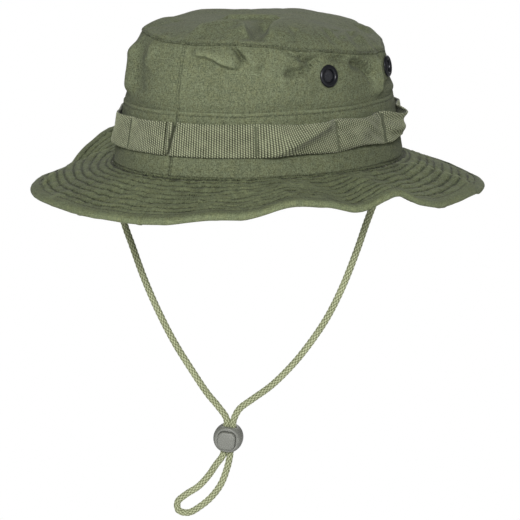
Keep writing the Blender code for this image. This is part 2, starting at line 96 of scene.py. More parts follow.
LOCK_AT = Vector((-12.2, -18.3, -184.3))
LOCK_TURN = math.radians(27)
LOCK_TILT = math.radians(6)
CORD_R = 2.05
STRAND_OFFSET = 2.25
STRAND_RUN = (12, 5, -5, -12)
CORD_LEFT = [
    (-87.2, -39.4, -9.5), (-83.6, -41.2, -28), (-78.2, -40.6, -47), (-73.2, -39.6, -60),
    (-64.6, -37.9, -82), (-55.4, -35.1, -103), (-45.2, -31.6, -123), (-34.7, -27.9, -140),
    (-24.4, -23.7, -156), (-18.4, -21.1, -163.5),
]
CORD_LOOP = [
    (-18.7, -22.8, -202.3), (-22.6, -25.6, -209.5), (-28.2, -29.5, -217.0), (-34.9, -34.0, -222.4),
    (-39.3, -37.1, -227.5), (-38.7, -36.9, -233.0), (-33.6, -33.3, -234.6), (-27.0, -28.7, -230.2),
    (-20.7, -24.3, -223.3), (-15.9, -20.9, -214.8), (-12.6, -18.6, -203.5),
]
CORD_RIGHT = [
    (-5.6, -15.2, -165), (2.4, -12.3, -158), (13.0, -7.2, -149), (23.2, -3.1, -138),
    (32.8, 0.9, -125.5), (46.8, 5.8, -103.5), (57.3, 8.4, -82), (66.3, 11.0, -58), (74.0, 11.6, -37),
    (80.6, 11.5, -22.5), (89.4, 11.2, -10),
]
BRAID_PITCH = 3.3
BRAID_STRANDS = 3
BRAID_LOW = 0.42
BRAID_RISE = 0.62
CORD_AROUND = 34

# Thickness of each cloth as it is modelled
WALL_CLOTH = 0.8
BAND_CLOTH = 0.75
SWEATBAND_CLOTH = 0.85
TAPE_CLOTH = 0.6
TAB_CLOTH = 0.6
TAPE_SHEET = 1.0

# Points round the hat that each piece is made with
WALL_STEPS, BAND_STEPS, TIP_STEPS = 400, 300, 430
BRIM_STEPS, STIFFENER_STEPS, BINDING_STEPS = 360, 180, 760
SWEATBAND_STEPS, TAPE_STEPS = 520, 460

# Where stitches run: below the band's top edge, beside the centre seams, and along the binding (see its
# surface); and how high the sweatband reaches
BAND_ROW = 1.7
WALL_SEAM_ROW, BAND_SEAM_ROW = 1.9, 1.8
BINDING_ROWS = (0.22, 2.78)
SWEATBAND_FOOT, SWEATBAND_HEAD = -1.5, 30

# Seeds of the puckers of the brim's two faces
UPPER_SEED, LOWER_SEED = 53, 56

# Stitches: pitch, length and radius of the thread
WALL_STITCH = (2.6, 2.05, 0.19)
TIP_STITCH = (2.7, 2.1, 0.19)
BAND_STITCH = (2.7, 2.1, 0.18)
BRIM_STITCH = (3.0, 2.35, 0.17)
BINDING_STITCH = (2.9, 2.25, 0.18)
SWEATBAND_STITCH = (2.5, 1.9, 0.18)
TAPE_STITCH = (2.5, 1.9, 0.15)
TAB_STITCH = (1.9, 1.5, 0.17)
STITCH_LIFT = 0.02
LAP_REACH = 6

# Camera: azimuth and elevation, metres from its target, and its lens
CAMERA_VIEW = (35, 11)
CAMERA_DISTANCE = 1.6
CAMERA_TARGET = Vector((0, 0, -0.069))
CAMERA_LENS, CAMERA_SENSOR, CAMERA_REACH = 173, 36, 200

# Lamps: name, azimuth, elevation, distance and diameter in metres, and watts
LAMPS = [
    ("key", 34, 21, 2.6, 0.8, 46), ("fill", 0, 4, 3.0, 2.0, 5), ("back", 205, 25, 3.0, 2.2, 26),
]
WORLD_LIGHT = 0.17
FLOOR_HALF, FLOOR_Z = 60000, -560


def new_object(name, data):
    """An object in the scene."""
    made = bpy.data.objects.new(name, data)
    bpy.context.scene.collection.objects.link(made)
    return made


def stand_off(thing, azimuth, elevation, distance, target=Vector((0, 0, 0))):
    """Put a camera or lamp at a distance from its target, looking at it."""
    a, e = math.radians(azimuth), math.radians(elevation)
    way = Vector((math.sin(a) * math.cos(e), -math.cos(a) * math.cos(e), math.sin(e)))
    thing.location = target + way * distance
    thing.rotation_euler = (-way).to_track_quat("-Z", "Y").to_euler()


def make_camera():
    """The camera at the photograph's viewing angle."""
    data = bpy.data.cameras.new("camera")
    data.lens, data.sensor_width, data.clip_end = CAMERA_LENS, CAMERA_SENSOR, CAMERA_REACH
    camera = new_object("camera", data)
    stand_off(camera, *CAMERA_VIEW, CAMERA_DISTANCE, CAMERA_TARGET)
    bpy.context.scene.camera = camera


# ---- shapes in numbers ----

def smooth(x):
    """0 below 0, 1 above 1 and a soft step between."""
    x = np.clip(x, 0, 1)
    return x * x * (3 - 2 * x)


def hump(x, width):
    """1 where x is 0, falling off to both sides over that width."""
    return np.exp(-(x / width) ** 2)


def unit(vectors):
    """The same vectors, each of length 1."""
    return vectors / np.maximum(np.linalg.norm(vectors, axis=-1, keepdims=True), 1e-12)


def lengths(line):
    """Distance from a line's first point to each of its points."""
    return np.concatenate([[0], np.cumsum(np.linalg.norm(np.diff(line, axis=0), axis=1))])


def points_at(line, run, at):
    """Points of a line at given distances along it."""
    return np.stack([np.interp(at, run, line[:, k]) for k in range(3)], -1)


def turned(t, angle):
    """Degrees from an angle to t, the short way round."""
    return (t - angle + 180) % 360 - 180


def outline(t):
    """Points and outward normals of the head opening's ellipse."""
    turn = np.radians(t)
    point = np.stack([HALF_WIDTH * np.sin(turn), -HALF_LENGTH * np.cos(turn)], -1)
    normal = np.stack([np.sin(turn) / HALF_WIDTH, -np.cos(turn) / HALF_LENGTH], -1)
    return point, unit(normal)


def place(t, offset, z):
    """Points at an offset outside the opening's outline, at a height."""
    t, offset, z = np.broadcast_arrays(*(np.asarray(a, float) for a in (t, offset, z)))
    point, normal = outline(t)
    return np.concatenate([point + normal * offset[..., None], z[..., None]], -1)


ARC_T = np.linspace(-400, 800, 12001)
ARC_S = lengths(outline(ARC_T)[0])
ARC_S -= np.interp(0, ARC_T, ARC_S)


def arc(t):
    """Distance round the opening's outline from the front."""
    return np.interp(t, ARC_T, ARC_S)


def turn_of(s):
    """Angle at a distance round the outline."""
    return np.interp(s, ARC_S, ARC_T)


def periodic(points, t):
    """Smooth curve round the hat through (angle, value) points."""
    a, h = (np.array(row, float) for row in zip(*points))
    a = np.concatenate([[a[-1] - 360], a, a[:2] + 360])
    h = np.concatenate([[h[-1]], h, h[:2]])
    t = (np.asarray(t, float) - a[1]) % 360 + a[1]
    i = np.clip(np.searchsorted(a, t) - 1, 1, len(a) - 3)
    span = a[i + 1] - a[i]
    u = (t - a[i]) / span
    rise = (h[i + 1] - h[i - 1]) / (a[i + 1] - a[i - 1]) * span
    fall = (h[i + 2] - h[i]) / (a[i + 2] - a[i]) * span
    value = (2 * u**3 - 3 * u**2 + 1) * h[i] + (u**3 - 2 * u**2 + u) * rise
    return value + (3 * u**2 - 2 * u**3) * h[i + 1] + (u**3 - u**2) * fall


def waves(t, y, cells, step, seed):
    """Smooth random waves from -1 to 1: so many cells a turn, and one each step across."""
    table = np.random.default_rng(seed).uniform(-1, 1, (cells, 97))
    x, q = np.broadcast_arrays(np.mod(t, 360) / 360 * cells, np.asarray(y, float) / step + 40)
    i, j = np.floor(x).astype(int), np.floor(q).astype(int)
    fx, fy = smooth(x - i), smooth(q - j)
    i, j, ni, nj = i % cells, j % 97, (i + 1) % cells, (j + 1) % 97
    low = table[i, j] * (1 - fx) + table[ni, j] * fx
    high = table[i, nj] * (1 - fx) + table[ni, nj] * fx
    return low * (1 - fy) + high * fy


def ring_waves(t, cells, seed):
    """The same waves round the hat, alike at every height."""
    return waves(t, 0.0, cells, 1, seed)


def flat_waves(x, y, step, seed):
    """The same waves over a flat piece."""
    return waves(np.asarray(x) / (97 * step) * 360, y, 97, step, seed)


def crease(x, y, path, height, left, right, sharp=2.0):
    """A ridge or valley along a path, that falls away over left and right on its two sides."""
    path = np.array(path, float)
    spans = np.linalg.norm(np.diff(path, axis=0), axis=1)
    best, side, way = np.full(x.shape, 1e9), np.zeros(x.shape), np.zeros(x.shape)
    done = 0.0
    for (ax, ay), (bx, by), span in zip(path, path[1:], spans):
        dx, dy = bx - ax, by - ay
        u = np.clip(((x - ax) * dx + (y - ay) * dy) / span**2, 0, 1)
        ex, ey = x - ax - u * dx, y - ay - u * dy
        away = np.hypot(ex, ey)
        near = away < best
        side = np.where(near, dx * ey - dy * ex, side)
        way = np.where(near, done + u * span, way)
        best = np.minimum(best, away)
        done += span
    way /= done
    width = np.where(side > 0, left, right)
    taper = smooth(way / 0.2) * smooth((1 - way) / 0.2)
    return height * taper * np.exp(-(best / width) ** sharp)


def unrolled(t, path, scale):
    """Distance round the hat, for every angle and for a path's points, counted near the path."""
    first = path[0][0]
    near = turned(t, first) + first
    return arc(near) * scale, [(arc(angle) * scale, height) for angle, height in path]


def wear_and_highlight_crests(t, y, folds, scale):
    """1 along the tops of the higher folds, painted paler: partly rubbed wear, partly a painted highlight.
    """
    line = 0.0
    for path, height, *_ in folds:
        if height > PALE_CREST_FROM:
            x, local = unrolled(t, path, scale)
            line = line + crease(x, y + 0 * x, local, 1.0, 1.5, 1.5)
    return line


def lean(z):
    """Offset of the cloth band's outer face."""
    return -BAND_LEAN * z / BAND_HEIGHT


def wall_face(z):
    """Offset of the wall's outer face."""
    return np.interp(z, WALL_FACE[:, 1], WALL_FACE[:, 0])


def wall_top(t):
    """Height of the wall's upper edge."""
    return periodic(TIP_SEAM, t) - SEAM_STEP


def seam_at(z):
    """Angle of the front centre seam, which slants a little."""
    return 3.2 + 3.4 * np.clip(np.asarray(z, float) / 75, 0, 1)


BACK_SEAM = 182.5

# How much deeper the listed folds are made on the wall and the tip; from what height on a fold's top is
# painted paler, for wear and a painted highlight; and mm along a fold's path for each mm round the opening
FOLD_DEPTH = 2.1
TIP_DEPTH = 1.25
PALE_CREST_FROM = 1.9
WALL_RUN = 0.92
BRIM_RUN = 1.25

# Folds of the wall: path in (angle, height), how far it stands out, and its width above and below
WALL_FOLDS = [
    ([(11, 71), (14, 72.3), (18.2, 72), (22, 70.2), (25.4, 67.6), (30.1, 65.6), (34, 65.8)],
     2.1, 7.5, 1.5, 2.0),
    ([(10, 68), (18, 69), (25, 64), (33, 62.5)], -0.6, 3.5, 4.0, 2.0),
    ([(27.6, 80), (29.5, 77), (31.8, 73.6), (35.8, 67)], -2.6, 1.5, 1.1, 2.0),
    ([(29.5, 81), (33.5, 76), (37.5, 69.5), (41, 62)], 1.5, 5.5, 3.0, 2.0),
    ([(21, 78), (26.5, 75), (30.5, 70), (33, 64)], 0.9, 3.0, 3.5, 2.0),
    ([(49, 76), (52, 74), (57, 70.5), (61, 67)], -1.0, 2.0, 1.5, 2.0),
    ([(56, 69.5), (63, 67), (70, 66.9), (77.8, 67), (84, 65.5)], -2.1, 3.8, 2.4, 2.0),
    ([(50, 60), (53.4, 60), (58.2, 60.8), (63.2, 63.6), (66, 67)], -1.9, 2.8, 1.8, 2.0),
    ([(48, 57), (55, 56.5), (61, 58.5)], 0.8, 3.0, 4.0, 2.0),
    ([(80.9, 64.5), (84.8, 62.5), (89.3, 60.3), (93.6, 55), (95, 47)], -2.2, 3.2, 2.6, 2.0),
    ([(84, 69), (88, 65), (93, 61.5)], 0.9, 2.4, 2.4, 2.0),
    ([(97.5, 75), (98, 69.4), (99.2, 63), (100.4, 54.4), (100, 47.7), (98, 41), (97, 37)],
     2.3, 3.4, 6.5, 1.5),
    ([(101, 66), (102.5, 58), (103, 50), (101, 41)], -1.3, 4.0, 3.0, 2.0),
    ([(-23.9, 76), (-22, 66), (-20, 56), (-19, 43)], -1.4, 9.0, 10.0, 2.0),
    ([(-33, 78), (-30, 65), (-29, 54), (-28, 42)], 1.5, 7.0, 7.0, 2.0),
    ([(-14, 79), (-13, 70), (-16, 62)], 0.8, 5.0, 3.0, 2.0),
    ([(-62, 76), (-58, 66), (-63, 55), (-60, 44)], -1.5, 6.0, 5.0, 2.0),
    ([(-96, 79), (-93, 68), (-97, 56)], 0.8, 6.0, 4.0, 2.0),
    ([(-84, 74), (-76, 70), (-66, 70)], -1.2, 3.0, 2.2, 2.0),
    ([(-128, 78), (-124, 67), (-131, 52), (-128, 42)], -1.8, 7.0, 5.0, 2.0),
    ([(-160, 77), (-152, 71), (-141, 69)], 1.0, 5.0, 3.0, 2.0),
    ([(-150, 62), (-141, 58), (-133, 60)], -1.0, 4.0, 2.5, 2.0),
    ([(122, 66), (124, 58), (122, 50), (123, 42)], -0.9, 5.0, 6.0, 2.0),
    ([(136, 73), (141, 66), (150, 62), (158, 63)], 0.5, 6.0, 4.0, 2.0),
    ([(120, 66), (116, 60), (119, 50)], -1.3, 3.0, 4.0, 2.0),
    ([(165, 76), (163, 66), (167, 56)], -1.2, 5.0, 4.0, 2.0),
    ([(150, 52), (160, 47), (172, 48)], 1.0, 3.0, 4.0, 2.0),
]


def bell(t, middle, reach):
    """1 at an angle, falling softly to 0 at a reach to either side."""
    away = np.abs(turned(t, middle))
    return 0.5 + 0.5 * np.cos(np.pi * np.clip(away / reach, 0, 1))


def wall_sag(t, z):
    """Where the soft crown has sunk inwards: its left side, and the shoulder behind its right vents."""
    left = -3.6 * bell(t, -66, 52) * smooth((z - 37.5) / 7) - 1.6 * bell(t, -55, 40) * smooth((z - 68) / 13)
    right = -3.6 * bell(t, 128, 40) * smooth((z - 41) / 9) - 3.2 * bell(t, 130, 44) * smooth((z - 60) / 14)
    return left + right


def wall_relief(t, z):
    """How far the wall's cloth stands out from its even face."""
    top = wall_top(t)
    down, up = np.maximum(top - z, 0), np.maximum(z - BAND_HEIGHT, 0)
    out = 0.9 * waves(t, z, 15, 26, 3) + 0.45 * waves(t, z, 34, 12, 4) + 0.14 * waves(t, z, 90, 5, 5)
    for path, height, above, below, sharp in WALL_FOLDS:
        x, local = unrolled(t, path, WALL_RUN)
        out = out + crease(x, z, local, FOLD_DEPTH * height, above, below, sharp)
    out = out * smooth(up / 9) * (0.35 + 0.65 * smooth(down / 5)) + wall_sag(t, z)
    pucker = ring_waves(t, 74, 6) + 0.6 * ring_waves(t, 150, 7)
    out = out + 0.6 * pucker * np.exp(-down / 7) * smooth(down / 1.2)
    pucker = ring_waves(t, 60, 8) + 0.5 * ring_waves(t, 130, 9)
    out = out + 0.22 * pucker * np.exp(-up / 5)
    for angle in EYELET_ANGLES.values():
        near = turned(t, angle)
        away = np.hypot((arc(near + angle) - arc(angle)) * 0.92, z - EYELET_Z)
        out = out * smooth((away - 7.4) / 6) - 0.55 * hump(away - 9.2, 2.6)
    return out


def wall_surface(t, z):
    """Outer face of the wall, whose top edge turns in under the tip."""
    top = wall_top(t)
    over = np.maximum(z - top, 0)
    level = np.minimum(z, top)
    tuck = 3.2 * smooth(over / 3) + 0.35 * smooth((level - top + 0.7) / 0.7)
    offset = wall_face(level) + wall_relief(t, level) - tuck
    rise = (seam_wobble(t) + 0.8) * smooth((level - top + 8) / 8)
    return place(t, offset, level + rise + 0.12 * over)


def seam_wobble(t):
    """How the tip seam wanders up and down."""
    return 0.35 * ring_waves(t, 26, 11) + 0.2 * ring_waves(t, 64, 12)


# Folds of the tip: path in (x, y), how far it rises, and its width on the left and right of its way
TIP_FOLDS = [
    ([(45, -72), (41.5, -64), (36, -55), (29.8, -42.6), (24.3, -29.4), (19.8, -18)], -5.2, 4.6, 5.2, 1.8),
    ([(4, -82.6), (9, -72), (14.8, -63), (21.8, -55.5), (28.5, -58), (35, -66), (38, -73)],
     3.8, 3.2, 9.5, 1.7),
    ([(52, -64), (48.5, -58.8), (42.4, -48.4), (36.1, -35.8), (32.1, -21.5), (31.5, -8), (32, 2)],
     3.0, 2.8, 14.0, 1.7),
    ([(-10, -32), (-1.5, -25.4), (7.5, -19.4), (17.5, -13), (27, -8)], 2.8, 10.0, 3.0, 1.8),
    ([(34, -52), (41, -57), (49, -60)], 1.1, 1.3, 2.2, 2.0),
    ([(35, -66), (38, -71), (40, -76)], -1.8, 2.6, 2.6, 2.0),
    ([(56, -9), (62.3, -14.5), (70, -21.6)], -2.2, 2.4, 2.8, 2.0),
    ([(45, 16), (51.9, 8), (61, -2), (69.9, -11.6)], -2.6, 2.8, 3.4, 2.0),
    ([(50, 10), (57, 3), (66, -5)], 1.3, 2.4, 2.4, 2.0),
    ([(52, 24), (59.2, 15), (67, 6), (74.9, -2.4)], -2.4, 2.8, 3.2, 2.0),
    ([(40, 40), (49.3, 32.6), (59.1, 25.5), (68.2, 17.1), (76, 11)], 2.2, 5.0, 7.0, 1.8),
    ([(60, -50), (56, -42), (49, -36)], -1.6, 3.0, 3.4, 2.0),
    ([(-34, -74), (-40, -60), (-45, -42), (-44, -22)], 1.7, 10.0, 4.0, 1.8),
    ([(-30, -70), (-33, -52), (-34, -36)], -1.4, 5.0, 6.0, 2.0),
    ([(-66, 20), (-48, 10), (-30, 14), (-14, 26)], 1.5, 3.5, 13.0, 1.7),
    ([(-60, 34), (-42, 28), (-24, 36)], -1.8, 7.0, 5.0, 2.0),
    ([(-24, 84), (-20, 66), (-8, 52), (8, 50)], 0.6, 9.0, 5.0, 1.7),
    ([(16, 84), (20, 68), (28, 58), (40, 52)], 0.7, 4.0, 8.0, 1.7),
    ([(26, 76), (34, 70), (43, 62)], -1.6, 3.0, 4.0, 2.0),
    ([(-70, -12), (-58, -18), (-50, -16)], -1.4, 3.0, 4.0, 2.0),
]


# Broad dips and rises of the tip: middle x, y, reach in x, y, height, and how far in from the seam it grows
TIP_DIPS = [(46, 36, 28, 34, -5.0, 24), (26, 62, 34, 34, -3.2, 14)]
TIP_PUFF = (55, -24, 17, 24, 1.6)


def dome(x, y, at_x, at_y, reach_x, reach_y):
    """1 at a point of the tip, falling off over its reach each way."""
    return np.exp(-(((x - at_x) / reach_x) ** 2 + ((y - at_y) / reach_y) ** 2))


def tip_surface(t, share):
    """Upper face of the tip: 1 is the seam, and past 1 the cloth rolls down into it."""
    t, share = np.broadcast_arrays(np.asarray(t, float), np.asarray(share, float))
    top = wall_top(t)
    rim = place(t, wall_face(top) + wall_relief(t, top) + 0.15, periodic(TIP_SEAM, t) + seam_wobble(t))
    inside = np.minimum(share, 1)
    x, y = rim[..., 0] * inside, rim[..., 1] * inside
    away = (1 - inside) * np.hypot(rim[..., 0], rim[..., 1])
    z = rim[..., 2] + (TIP_TOP - 4.4 - rim[..., 2]) * (1 - inside**4.0) + 1.2 * (1 - np.exp(-away / 2.6))
    for *spot, height, ease in TIP_DIPS:
        z = z + height * dome(x, y, *spot) * smooth(away / ease)
    rise = 0.7 * flat_waves(x, y, 34, 21) + 0.5 * flat_waves(x, y, 15, 22)
    rise = rise + 0.13 * flat_waves(x, y, 6, 23)
    for path, height, left, right, sharp in TIP_FOLDS:
        rise = rise + crease(x, y, path, TIP_DEPTH * height, left, right, sharp)
    rise = rise + TIP_PUFF[-1] * dome(x, y, *TIP_PUFF[:-1])
    z = z + rise * smooth(away / 11)
    pucker = ring_waves(t, 66, 24) + 0.6 * ring_waves(t, 140, 25)
    z = z + 0.55 * pucker * np.exp(-away / 8) * smooth(away / 1.5)
    z = z - 0.3 * hump(away - 1.0, 0.5)
    roll = np.clip((share - 1) * 3.2, 0, 2.6)
    normal = outline(t)[1]
    turn = 0.4 * np.sin(roll)
    return np.stack([
        x + normal[..., 0] * turn, y + normal[..., 1] * turn, z - 0.5 * (1 - np.cos(roll)),
    ], -1)


def band_surface(t, z):
    """Outer face of the cloth band, its top edge turned in."""
    level = np.minimum(z, BAND_HEIGHT)
    over = np.maximum(z - BAND_HEIGHT, 0)
    low, high = np.maximum(level, 0), BAND_HEIGHT - level
    out = 0.4 * waves(t, level, 26, 16, 31) + 0.16 * waves(t, level, 70, 7, 32)
    out = out + 0.25 * ring_waves(t, 90, 33) * np.exp(-low / 3.5)
    out = out + 0.2 * ring_waves(t, 80, 34) * np.exp(-high / 3)
    out = out - 0.3 * hump(high - BAND_ROW, 0.55)
    for angle in TACK_ANGLES:
        near = turned(t, angle)
        out = out - 0.5 * np.exp(-((near * 1.6) / 3.5) ** 2 - ((level - 21.5) / 11) ** 2)
    behind = smooth((level - 9) / 3) * smooth((33.5 - level) / 3)
    out = np.minimum(out, 0.6 - 0.5 * behind)
    roll = np.clip(over / 1.0, 0, 3.0)
    offset = lean(level) + out - 0.75 * (1 - np.cos(roll)) - 1.2 * smooth((0.4 - level) / 1.6)
    return place(t, offset, level - 0.2 + 0.75 * np.sin(roll) + 0.25 * ring_waves(t, 22, 35))


# How much higher or lower the brim's edge lies than in its CAD
BRIM_TRIM = [
    (-172, 0), (-145, 0), (-118, 1.5), (-104, 3.5), (-100, 4), (-95, 5), (-88, 7), (-84, 5.2), (-80, 1.2),
    (-74, 0), (-40, 0), (-14, 0.9), (6, 0), (20, 0), (44, -0.4), (52, -1.2), (60, -2), (67, -0.8),
    (73, -0.4), (80, -2.6), (90, -1.4), (100, 0), (140, 0),
]

# Crests of the brim: path in (angle, offset), height, and its width towards the edge and the root
BRIM_CRESTS = [
    ([(104, -6), (106, 8), (108.5, 24), (110, 38), (112, 54)], 4.6, 15.0, 3.4, 1.5),
    ([(117, 4), (120, 24), (123, 48)], -2.2, 4.5, 6.0, 2.0),
    ([(130, 4), (131, 24), (132, 48)], 1.0, 7.0, 7.0, 2.0),
    ([(141, 4), (141, 24), (142, 48)], -1.0, 7.0, 7.0, 2.0),
    ([(-84, -4), (-70, 12), (-56, 27), (-44, 39), (-34, 50)], 4.8, 3.6, 15.0, 1.5),
    ([(73, 12), (74, 30), (72, 50)], 1.4, 8.0, 8.0, 1.7),
    ([(86, 6), (82, 20), (80, 34), (80, 50)], -1.2, 9.0, 9.0, 2.0),
    ([(44, 14), (47, 30), (48, 50)], 1.2, 9.0, 9.0, 2.0),
    ([(59, 8), (61, 26), (62, 50)], -1.0, 8.0, 8.0, 2.0),
    ([(22, 6), (26, 22), (33, 40)], -1.0, 8.0, 9.0, 2.0),
]


def brim_height(t, d):
    """Height of the brim's top face, but for its smaller waves."""
    edge = periodic(BRIM_EDGE, t) + periodic(BRIM_TRIM, t) + BRIM_DEPTH + GAP + BINDING_CLOTH
    return BRIM_TOP + (edge - BRIM_TOP) * (d - BRIM_ROOT) / (BRIM_REACH - BRIM_ROOT)


ROWS = (1.7, 4.6, 9.8, 15.0, 20.2, 25.5, 30.8, 36.2, 41.4)


def row_at(k, t):
    """Offset of the brim's stitched row number k, which wanders a little."""
    return ROWS[k] + 0.55 * ring_waves(t, 17, 40 + k) + 0.2 * ring_waves(t, 60, 60 + k)


def brim_quilt(t, d, seed):
    """Height of the brim's quilted cloth: grooves along the rows and puckers between them."""
    groove = np.zeros(np.broadcast(t, d).shape)
    for k in range(len(ROWS)):
        groove = groove + hump(d - row_at(k, t), 0.72)
    pucker = 0.65 * waves(t, d, 150, 2.6, seed) + 0.6 * waves(t, d, 260, 5.2, seed + 1)
    drag = waves(t + d * 0.16, d, 70, 17, seed + 2)
    puff = 1 - np.clip(groove, 0, 1)
    groove = 1.3 * hump(d - 0.5, 0.75)
    return -groove + 0.8 * puff + 0.62 * pucker * (0.35 + 0.65 * puff) + 0.4 * drag - 0.6


def brim_waves(t, d):
    """Soft waves of the whole brim, beyond its CAD's."""
    share = np.clip(d / BRIM_REACH, 0, 1)
    wide = 0.8 * waves(t, d, 30, 60, 51) + 0.6 * waves(t, d, 66, 24, 52)
    wide = wide * (1 - 0.6 * smooth((share - 0.7) / 0.3))
    for path, height, out, inward, sharp in BRIM_CRESTS:
        x, local = unrolled(t, path, BRIM_RUN)
        wide = wide + crease(x, d + 0 * x, local, height, out, inward, sharp)
    return wide * smooth(share / 0.35)


def brim_upper(t, d):
    """Top face of the brim."""
    return place(t, d, brim_height(t, d) + brim_waves(t, d) + brim_quilt(t, d, UPPER_SEED))


def brim_lower(t, d):
    """Bottom face of the brim."""
    low = brim_height(t, d) - BRIM_DEPTH
    return place(t, d, low + brim_waves(t, d) - brim_quilt(t, d, LOWER_SEED) * 0.9)


def binding_surface(t, u):
    """Outer face of the binding: u runs from its top inner edge, round the brim's edge, to below."""
    inside = BRIM_REACH - BINDING_WIDTH
    half = (BRIM_DEPTH + 2 * GAP) / 2 + BINDING_CLOTH
    run = BINDING_WIDTH - 1.4
    u = np.asarray(u, float)
    turn = np.clip((u - 1) / 1, 0, 1) * np.pi
    top, low = np.clip(u, 0, 1), np.clip(u - 2, 0, 1)
    d = inside + run * (top - low) + (half - 0.05) * np.sin(turn)
    side = np.cos(turn)
    leaf = np.where(u < 1.5, top, 1 - low)
    lift = half - 0.55 * (1 - smooth(leaf / 0.10)) - 0.22 * hump(leaf - BINDING_ROWS[0], 0.09)
    wander = 0.3 * ring_waves(t, 40, 71)
    ripple = 0.16 * waves(t, u, 170, 0.7, 72) + 0.14 * waves(t, u, 80, 0.9, 73)
    middle = brim_height(t, np.minimum(d, BRIM_REACH)) - BRIM_DEPTH / 2 + brim_waves(t, d)
    return place(t, d + wander * (1 - smooth(leaf / 0.6)), middle + side * (lift + ripple))


def sweat_surface(t, z):
    """Inner face of the sweatband, turned to the head."""
    low, high = np.maximum(z - SWEATBAND_FOOT, 0), SWEATBAND_HEAD - z
    offset = lean(np.maximum(z, 0)) - 2.75 - 0.95
    out = 0.25 * waves(t, z, 40, 11, 81) + 0.2 * ring_waves(t, 120, 82) * np.exp(-low / 3)
    out = out + 0.3 * hump(low - 2.0, 0.6) - 0.25 * smooth((high - 1) / 2)
    return place(t, offset + np.minimum(out, 0.5), z)


def tape_surface(t, z):
    """Inner face of the tape over the tip seam's allowance; z is from its foot, 0, to its head, 1."""
    top = wall_top(t)
    level = top - 4.0 + 3.4 * z
    offset = wall_face(top) + wall_relief(t, top) - 2.9 + 0.12 * waves(t, z, 90, 0.5, 83)
    return place(t, offset, level)


# Loop band: how far each loop stands off between its tacks, and its lower and upper edge there
LOOPS = [
    (2, 39, 0.7, 11.6, 31.4), (39, 72, 2.2, 12.6, 30.8), (72, 99, 1.9, 13.6, 30.2),
    (99, 128, 4.6, 13.2, 27.6), (128, 158, 2.4, 12.4, 30.6), (158, 182, 1.4, 11.8, 31.2),
    (182, 219, 2.0, 12, 31), (219, 252, 2.6, 12.8, 30.4), (252, 279, 1.8, 12, 31),
    (279, 308, 1.2, 12.2, 31.8), (308, 338, 2.4, 12.2, 31.6), (338, 362, 0.9, 12, 31.4),
]

# The fold across the band's third loop, as (angle, height)
CROSSWISE = [(40, 11.5), (44, 12.6), (49.6, 16.5), (55.4, 20.8), (61.7, 25.3), (66.9, 28.7), (72, 32)]

RIB_PITCH = 1.6
RIB_DOT = 1.35


def rib_run(t, z):
    """Distance across the tape's ribs, which slant where it is twisted."""
    return arc(t) + 0.5 * (z - 21) * smooth((t - 46) / 9) * smooth((100 - t) / 6)


def webbing_surface(t, v):
    """Outer face of the loop band; v runs from its lower edge, 0, to its upper one, 1."""
    t, v = np.broadcast_arrays(np.asarray(t, float), np.asarray(v, float))
    turn = (t - 2) % 360 + 2
    stand = np.zeros(t.shape)
    low, high = (np.full(t.shape, z) for z in WEBBING_Z)
    for start, end, off, bottom, top in LOOPS:
        inside = (turn >= start) & (turn <= end)
        share = np.clip((turn - start) / (end - start), 0, 1)
        bulge = np.sin(np.pi * share) ** 2
        stand = np.where(inside, off * np.sin(np.pi * share) ** 1.4 * (0.7 + 0.6 * v), stand)
        low = np.where(inside, low + (bottom - WEBBING_Z[0]) * bulge, low)
        high = np.where(inside, high + (top - WEBBING_Z[1]) * bulge, high)
    z = low + (high - low) * v
    x = arc(turn)
    out = stand + 0.22 * waves(t, z, 60, 9, 91) * np.minimum(stand, 1)
    local = [(arc(a), h) for a, h in CROSSWISE]
    out = out + crease(x, z, local, 5.0, 12.0, 3.6, 1.5)
    pucker = smooth((turn - 70) / 4) * smooth((101 - turn) / 6)
    out = out + pucker * (0.5 * np.sin(2 * np.pi * (z / 7.2 + 0.9 * ring_waves(t, 30, 92)))
                          + 1.2 * waves(t, z, 40, 6, 93))
    bunch = smooth((turn - 99) / 4) * smooth((128 - turn) / 5)
    out = out + bunch * (1.2 * np.sin(2 * np.pi * (z / 9.5 + 0.02 * turn)) + 0.8 * waves(t, z, 40, 6, 94))
    slack = smooth((turn - 308) / 6) * smooth((338 - turn) / 6)
    out = out + slack * 1.4 * waves(t, z, 24, 12, 95)
    for angle in TACK_ANGLES[1:]:
        out = out - 0.42 * hump(x - arc(angle), 0.9) * smooth(v / 0.08) * smooth((1 - v) / 0.08)
    run = rib_run(turn, z)
    cord = 0.5 + 0.5 * np.cos(2 * np.pi * run / RIB_PITCH)
    dots = 0.5 + 0.5 * np.cos(2 * np.pi * (z / RIB_DOT + run / (2 * RIB_PITCH)))
    out = out + 0.42 * cord * (0.72 + 0.28 * dots) - 0.2
    edge = 0.35 * (np.exp(-v / 0.03) + np.exp(-(1 - v) / 0.03))
    return place(t, lean(z) + GAP + WEBBING_CLOTH - edge + np.maximum(out, -0.8), z)


def normals_of(surface, a, b, flip=1, da=0.05, db=0.01):
    """Unit normals of a surface."""
    along = surface(a + da, b) - surface(a - da, b)
    across = surface(a, b + db) - surface(a, b - db)
    return flip * unit(np.cross(along, across))


# ---- meshes ----

def mesh_piece(name, points, quads, paint, weave=None):
    """An object of four-sided faces, from points in mm."""
    mesh = bpy.data.meshes.new(name)
    mesh.vertices.add(len(points))
    mesh.vertices.foreach_set("co", (np.asarray(points) * MM).astype(np.float32).ravel())
    mesh.loops.add(4 * len(quads))
    mesh.loops.foreach_set("vertex_index", np.asarray(quads, np.int32).ravel())
    mesh.polygons.add(len(quads))
    mesh.polygons.foreach_set("loop_start", np.arange(len(quads), dtype=np.int32) * 4)
    mesh.update(calc_edges=True)
    if weave is not None:
        mesh.attributes.new("weave", "FLOAT_VECTOR", "POINT").data.foreach_set(
            "vector", np.asarray(weave, np.float32).ravel())
    mesh.shade_smooth()
    mesh.materials.append(paint)
    return new_object(name, mesh)


